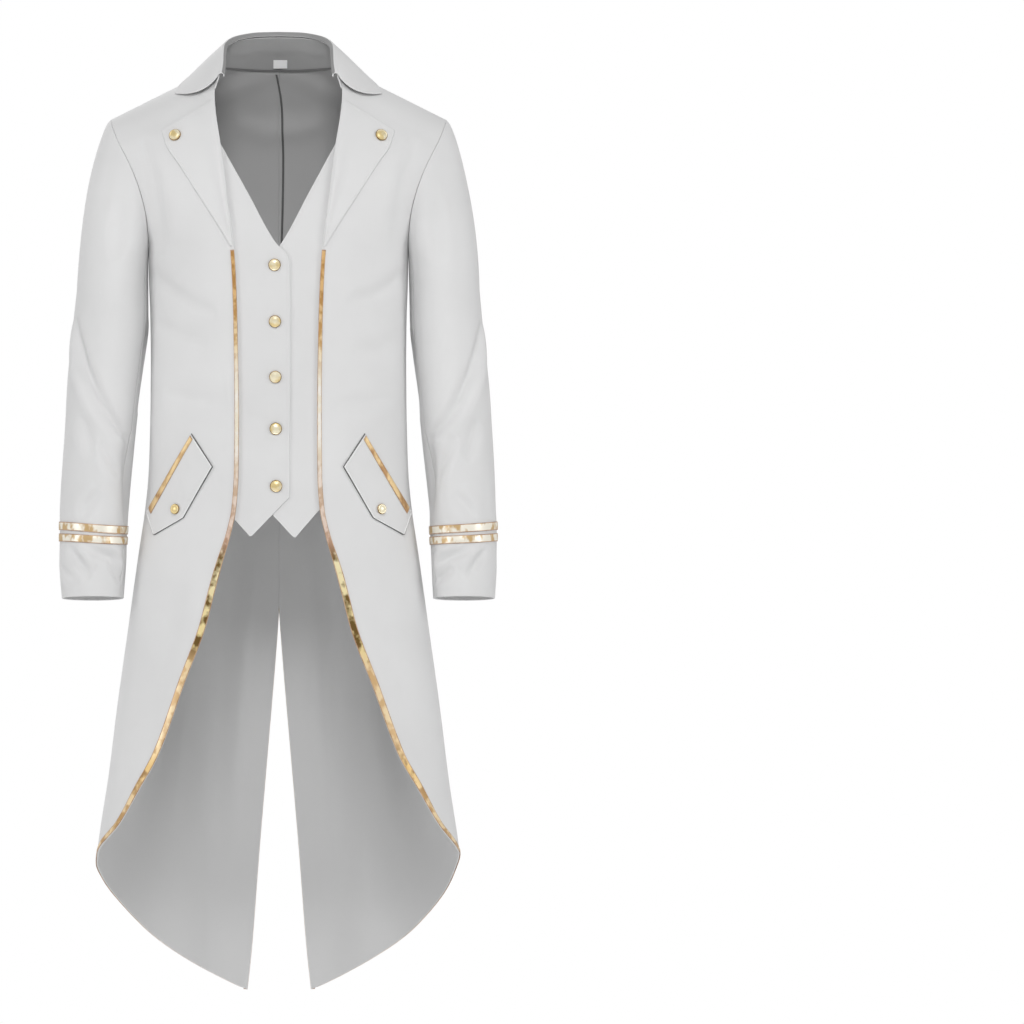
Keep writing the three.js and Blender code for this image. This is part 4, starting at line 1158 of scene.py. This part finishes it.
# Over the fold from inside, then down to the hem with a little belly.
bend = [
    fold + outward * step + np.array([0, 0, height])
    for step, height in (
        (-2.2, -4.6), (-2.2, -3.0), (-2.0, -1.2), (-1.4, 0.3), (-0.3, 1.2), (1.0, 1.3), (2.3, 0.6),
    )
]
fall = []
for g in np.linspace(0, 1, 22):
    belly = math.sin(np.pi * g)
    fall.append(mix(brow, hem, g) + outward * 2.2 * belly + np.array([0, 0, 1.6]) * belly)
P = np.stack(bend + fall, axis=1)
drop = np.concatenate([np.zeros(len(bend)), np.linspace(0, 1, len(fall))])[None, :]
end = smooth((run - 5.6) / 2.4)[:, None]
sag = np.sin(np.pi * drop ** 0.8) ** 0.9 * end
P += xyz(0, -19 * sag, -13 * sag)
N = facing(gradient_normals(P), P, xyz(P[..., 0] * 0.8, P[..., 1] * 0.8 - 4, P[..., 2] - 40))
# The first four rows, over the fold seen from inside, take the darker grey: painted shade inside the
# collar.
coat_piece("collar_leaf", P, N, "collar_fall", "folded", ["collar_band"], COLLAR_MATS,
           inside_rows=4)
gap = np.linalg.norm(P[:, -1] - P[:, -2], axis=-1)
back_off = np.clip(3.4 / np.maximum(gap, 0.1), 0, 3)
row = P.shape[1] - 1 - back_off
low, part = np.floor(row).astype(int), (row - np.floor(row))[:, None]
k = np.arange(P.shape[0])
line = P[k, low] * (1 - part) + P[k, np.minimum(low + 1, P.shape[1] - 1)] * part
stitches("collar_seam", line[4:-4], N[k, low][4:-4])

x, z = np.meshgrid(graded(12, 0.3), graded(9, 0.3), indexing="ij")
P = xyz(2 + 18 * (x - 0.5), 58.2, 34 + 11 * (z - 0.5))
P[..., 1] -= (P[..., 2] - 34) * 0.17
N = np.zeros_like(P)
N[..., 1] = -1
placed(shell("label_patch", P, N, 0.8, [LABEL_MAT]), ["neck_label"])

# Buttons: a raised rim round a soft dome.


def button(name, seat, normal, diameter, node):
    r = diameter / 2
    profile = [
        (0, 0), (0.86 * r, 0), (0.96 * r, 0.25), (r, 0.8), (0.99 * r, 1.5), (0.95 * r, 2.0),
        (0.9 * r, 2.2), (0.85 * r, 2.15), (0.8 * r, 1.95), (0.72 * r, 2.0), (0.55 * r, 2.45),
        (0.35 * r, 2.8), (0.15 * r, 2.97), (0, 3.0),
    ]
    sides = 48
    n = Vector(normal).normalized()
    across = n.orthogonal().normalized()
    up = n.cross(across)
    verts, faces = [], []
    for rad, h in profile:
        for k in range(sides):
            a = 2 * math.pi * k / sides
            verts.append(Vector(seat) + across * rad * math.cos(a) + up * rad * math.sin(a) + n * h)
    verts = verts[:1] + verts[sides:-sides] + verts[-1:]
    rings = len(profile) - 2
    last = len(verts) - 1
    for k in range(sides):
        m = (k + 1) % sides
        faces.append((0, 1 + m, 1 + k))
        for l in range(rings - 1):
            a = 1 + l * sides
            faces.append((a + k, a + m, a + sides + m, a + sides + k))
        a = 1 + (rings - 1) * sides
        faces.append((a + k, a + m, last))
    points = np.array([tuple(v) for v in verts])
    loops = [i for f in faces for i in f]
    uv = points[loops][:, [0, 2]]
    # The outermost faces take a darker brass, painted shade round the rim, and the rest is pale.
    spokes = [Vector(points[f[0]]) - Vector(seat) for f in faces]
    dark = [int((v - n * v.dot(n)).length > 0.93 * r) for v in spokes]
    obj = new_object(name, points, faces, uv, [BRASS, BRASS_RIM_SHADE], dark)
    placed(obj, [node])


for i, z in enumerate((-228, -301.5, -373.5, -440.5, -515)):
    p, n = on_body(-1, np.array([-4.5 + 0.5 * i]), np.array([z]), np.array([VEST_TOP_OUT + 0.2]))
    button(f"vest_stud_{i + 1}", p[0], n[0], BUTTON, f"vest_button_{i + 1}")
for sign, word in SIDES:
    for name, side, x, z, out, size in (
        ("lapel", -1, 133, -60.5, LAPEL_GAP + CLOTH + 0.3, BUTTON),
        ("flap", -1, 132, -545, REST_GAP + CLOTH + 0.9, SMALL_BUTTON),
        ("tab", 1, 77, -404.5, REST_GAP + CLOTH + 0.4, BUTTON),
    ):
        p, n = on_body(side, np.array([sign * x]), np.array([z]), np.array([out]))
        button(f"{name}_stud_{word}", p[0], n[0], size, f"{name}_button_{word}")
    for i, z in enumerate((-597, -618, -639)):
        turn, z = np.array([math.radians(251)]), np.array([z])
        p, n = sleeve_ring_z(turn, z)[0], sleeve_normal(turn, z)[0]
        p = p + n * (float(sleeve_relief(sign, turn, z, np.ones(1))[0]) + 0.3)
        mirror(sign, p, n)
        button(f"cuff_stud_{i + 1}_{word}", p, n, CUFF_BUTTON, f"cuff_button_{i + 1}_{word}")

# A plain pale floor, the camera and a soft studio.

FLOOR_RADIUS, FLOOR_Y, FLOOR_Z, FLOOR_SIDES = 3.1, -0.4, -1.26, 128
turns = [2 * math.pi * k / FLOOR_SIDES for k in range(FLOOR_SIDES)]
disc = [
    (FLOOR_RADIUS * math.cos(t), FLOOR_Y + FLOOR_RADIUS * math.sin(t), FLOOR_Z) for t in turns
]
mesh = bpy.data.meshes.new("studio_floor")
mesh.from_pydata(disc, [], [tuple(range(FLOOR_SIDES))])
studio_floor = bpy.data.objects.new("studio_floor", mesh)
bpy.context.scene.collection.objects.link(studio_floor)
m, _, shader = material("floor_white")
set_inputs(shader, Base_Color=(0.93, 0.93, 0.93, 1), Roughness=0.9)
mesh.materials.append(m)

world = bpy.data.worlds.new("studio")
bpy.context.scene.world = world
world.use_nodes = True
tree = world.node_tree
# Brighter behind the coat than before it, and plain white where the camera sees it.
WHITE = (1, 1, 1, 1)
room = set_inputs(tree.nodes["Background"], Color=WHITE)
coords = add_node(tree, "TexCoord")
split = add_node(tree, "SeparateXYZ")
wire(coords, "Generated", split, "Vector")
glow = add_node(tree, "MapRange", From_Min=-0.35, From_Max=0.55, To_Min=0.27, To_Max=0.6)
glow.interpolation_type = "SMOOTHSTEP"
wire(split, "Y", glow, "Value")
wire(glow, "Result", room, "Strength")
backdrop = add_node(tree, "Background", Color=WHITE)
seen = add_node(tree, "LightPath")
either = add_node(tree, "MixShader")
wire(seen, "Is Camera Ray", either, "Fac")
wire(room, "Background", either, 1)
wire(backdrop, "Background", either, 2)
wire(either, "Shader", tree.nodes["World Output"], "Surface")


def area_light(name, place, target, size, power):
    data = bpy.data.lights.new(name, "AREA")
    data.shape = "RECTANGLE"
    data.size, data.size_y = size
    data.energy = power
    obj = bpy.data.objects.new(name, data)
    obj.location = place
    obj.rotation_mode = "QUATERNION"
    obj.rotation_quaternion = (Vector(target) - Vector(place)).to_track_quat("-Z", "Y")
    bpy.context.scene.collection.objects.link(obj)


AIM = (0, 0, -0.5)
area_light("key", (0.0, -3.3, 1.9), AIM, (1.3, 1.3), 60)
area_light("left", (-3.9, -2.1, 0.3), AIM, (1.4, 1.4), 36)
area_light("right", (3.9, -2.1, 0.3), AIM, (1.4, 1.4), 38)
area_light("behind", (-1.4, 3.4, 1.8), AIM, (1.4, 1.4), 42)

# A far camera with a long lens. The picture is 1.3312 m wide where the coat stands.
EYE_AWAY, VIEW_WIDTH, SENSOR = 50.0, 1.3312, 36
camera = bpy.data.cameras.new("camera")
camera.sensor_width = SENSOR
camera.lens = SENSOR * EYE_AWAY / VIEW_WIDTH
camera.clip_end = 200
eye = bpy.data.objects.new("camera", camera)
eye.location = (0.30355, -EYE_AWAY, -0.5486)
eye.rotation_euler = (math.radians(90), 0, 0)
bpy.context.scene.collection.objects.link(eye)
bpy.context.scene.camera = eye
bpy.context.scene.view_settings.view_transform = "Standard"
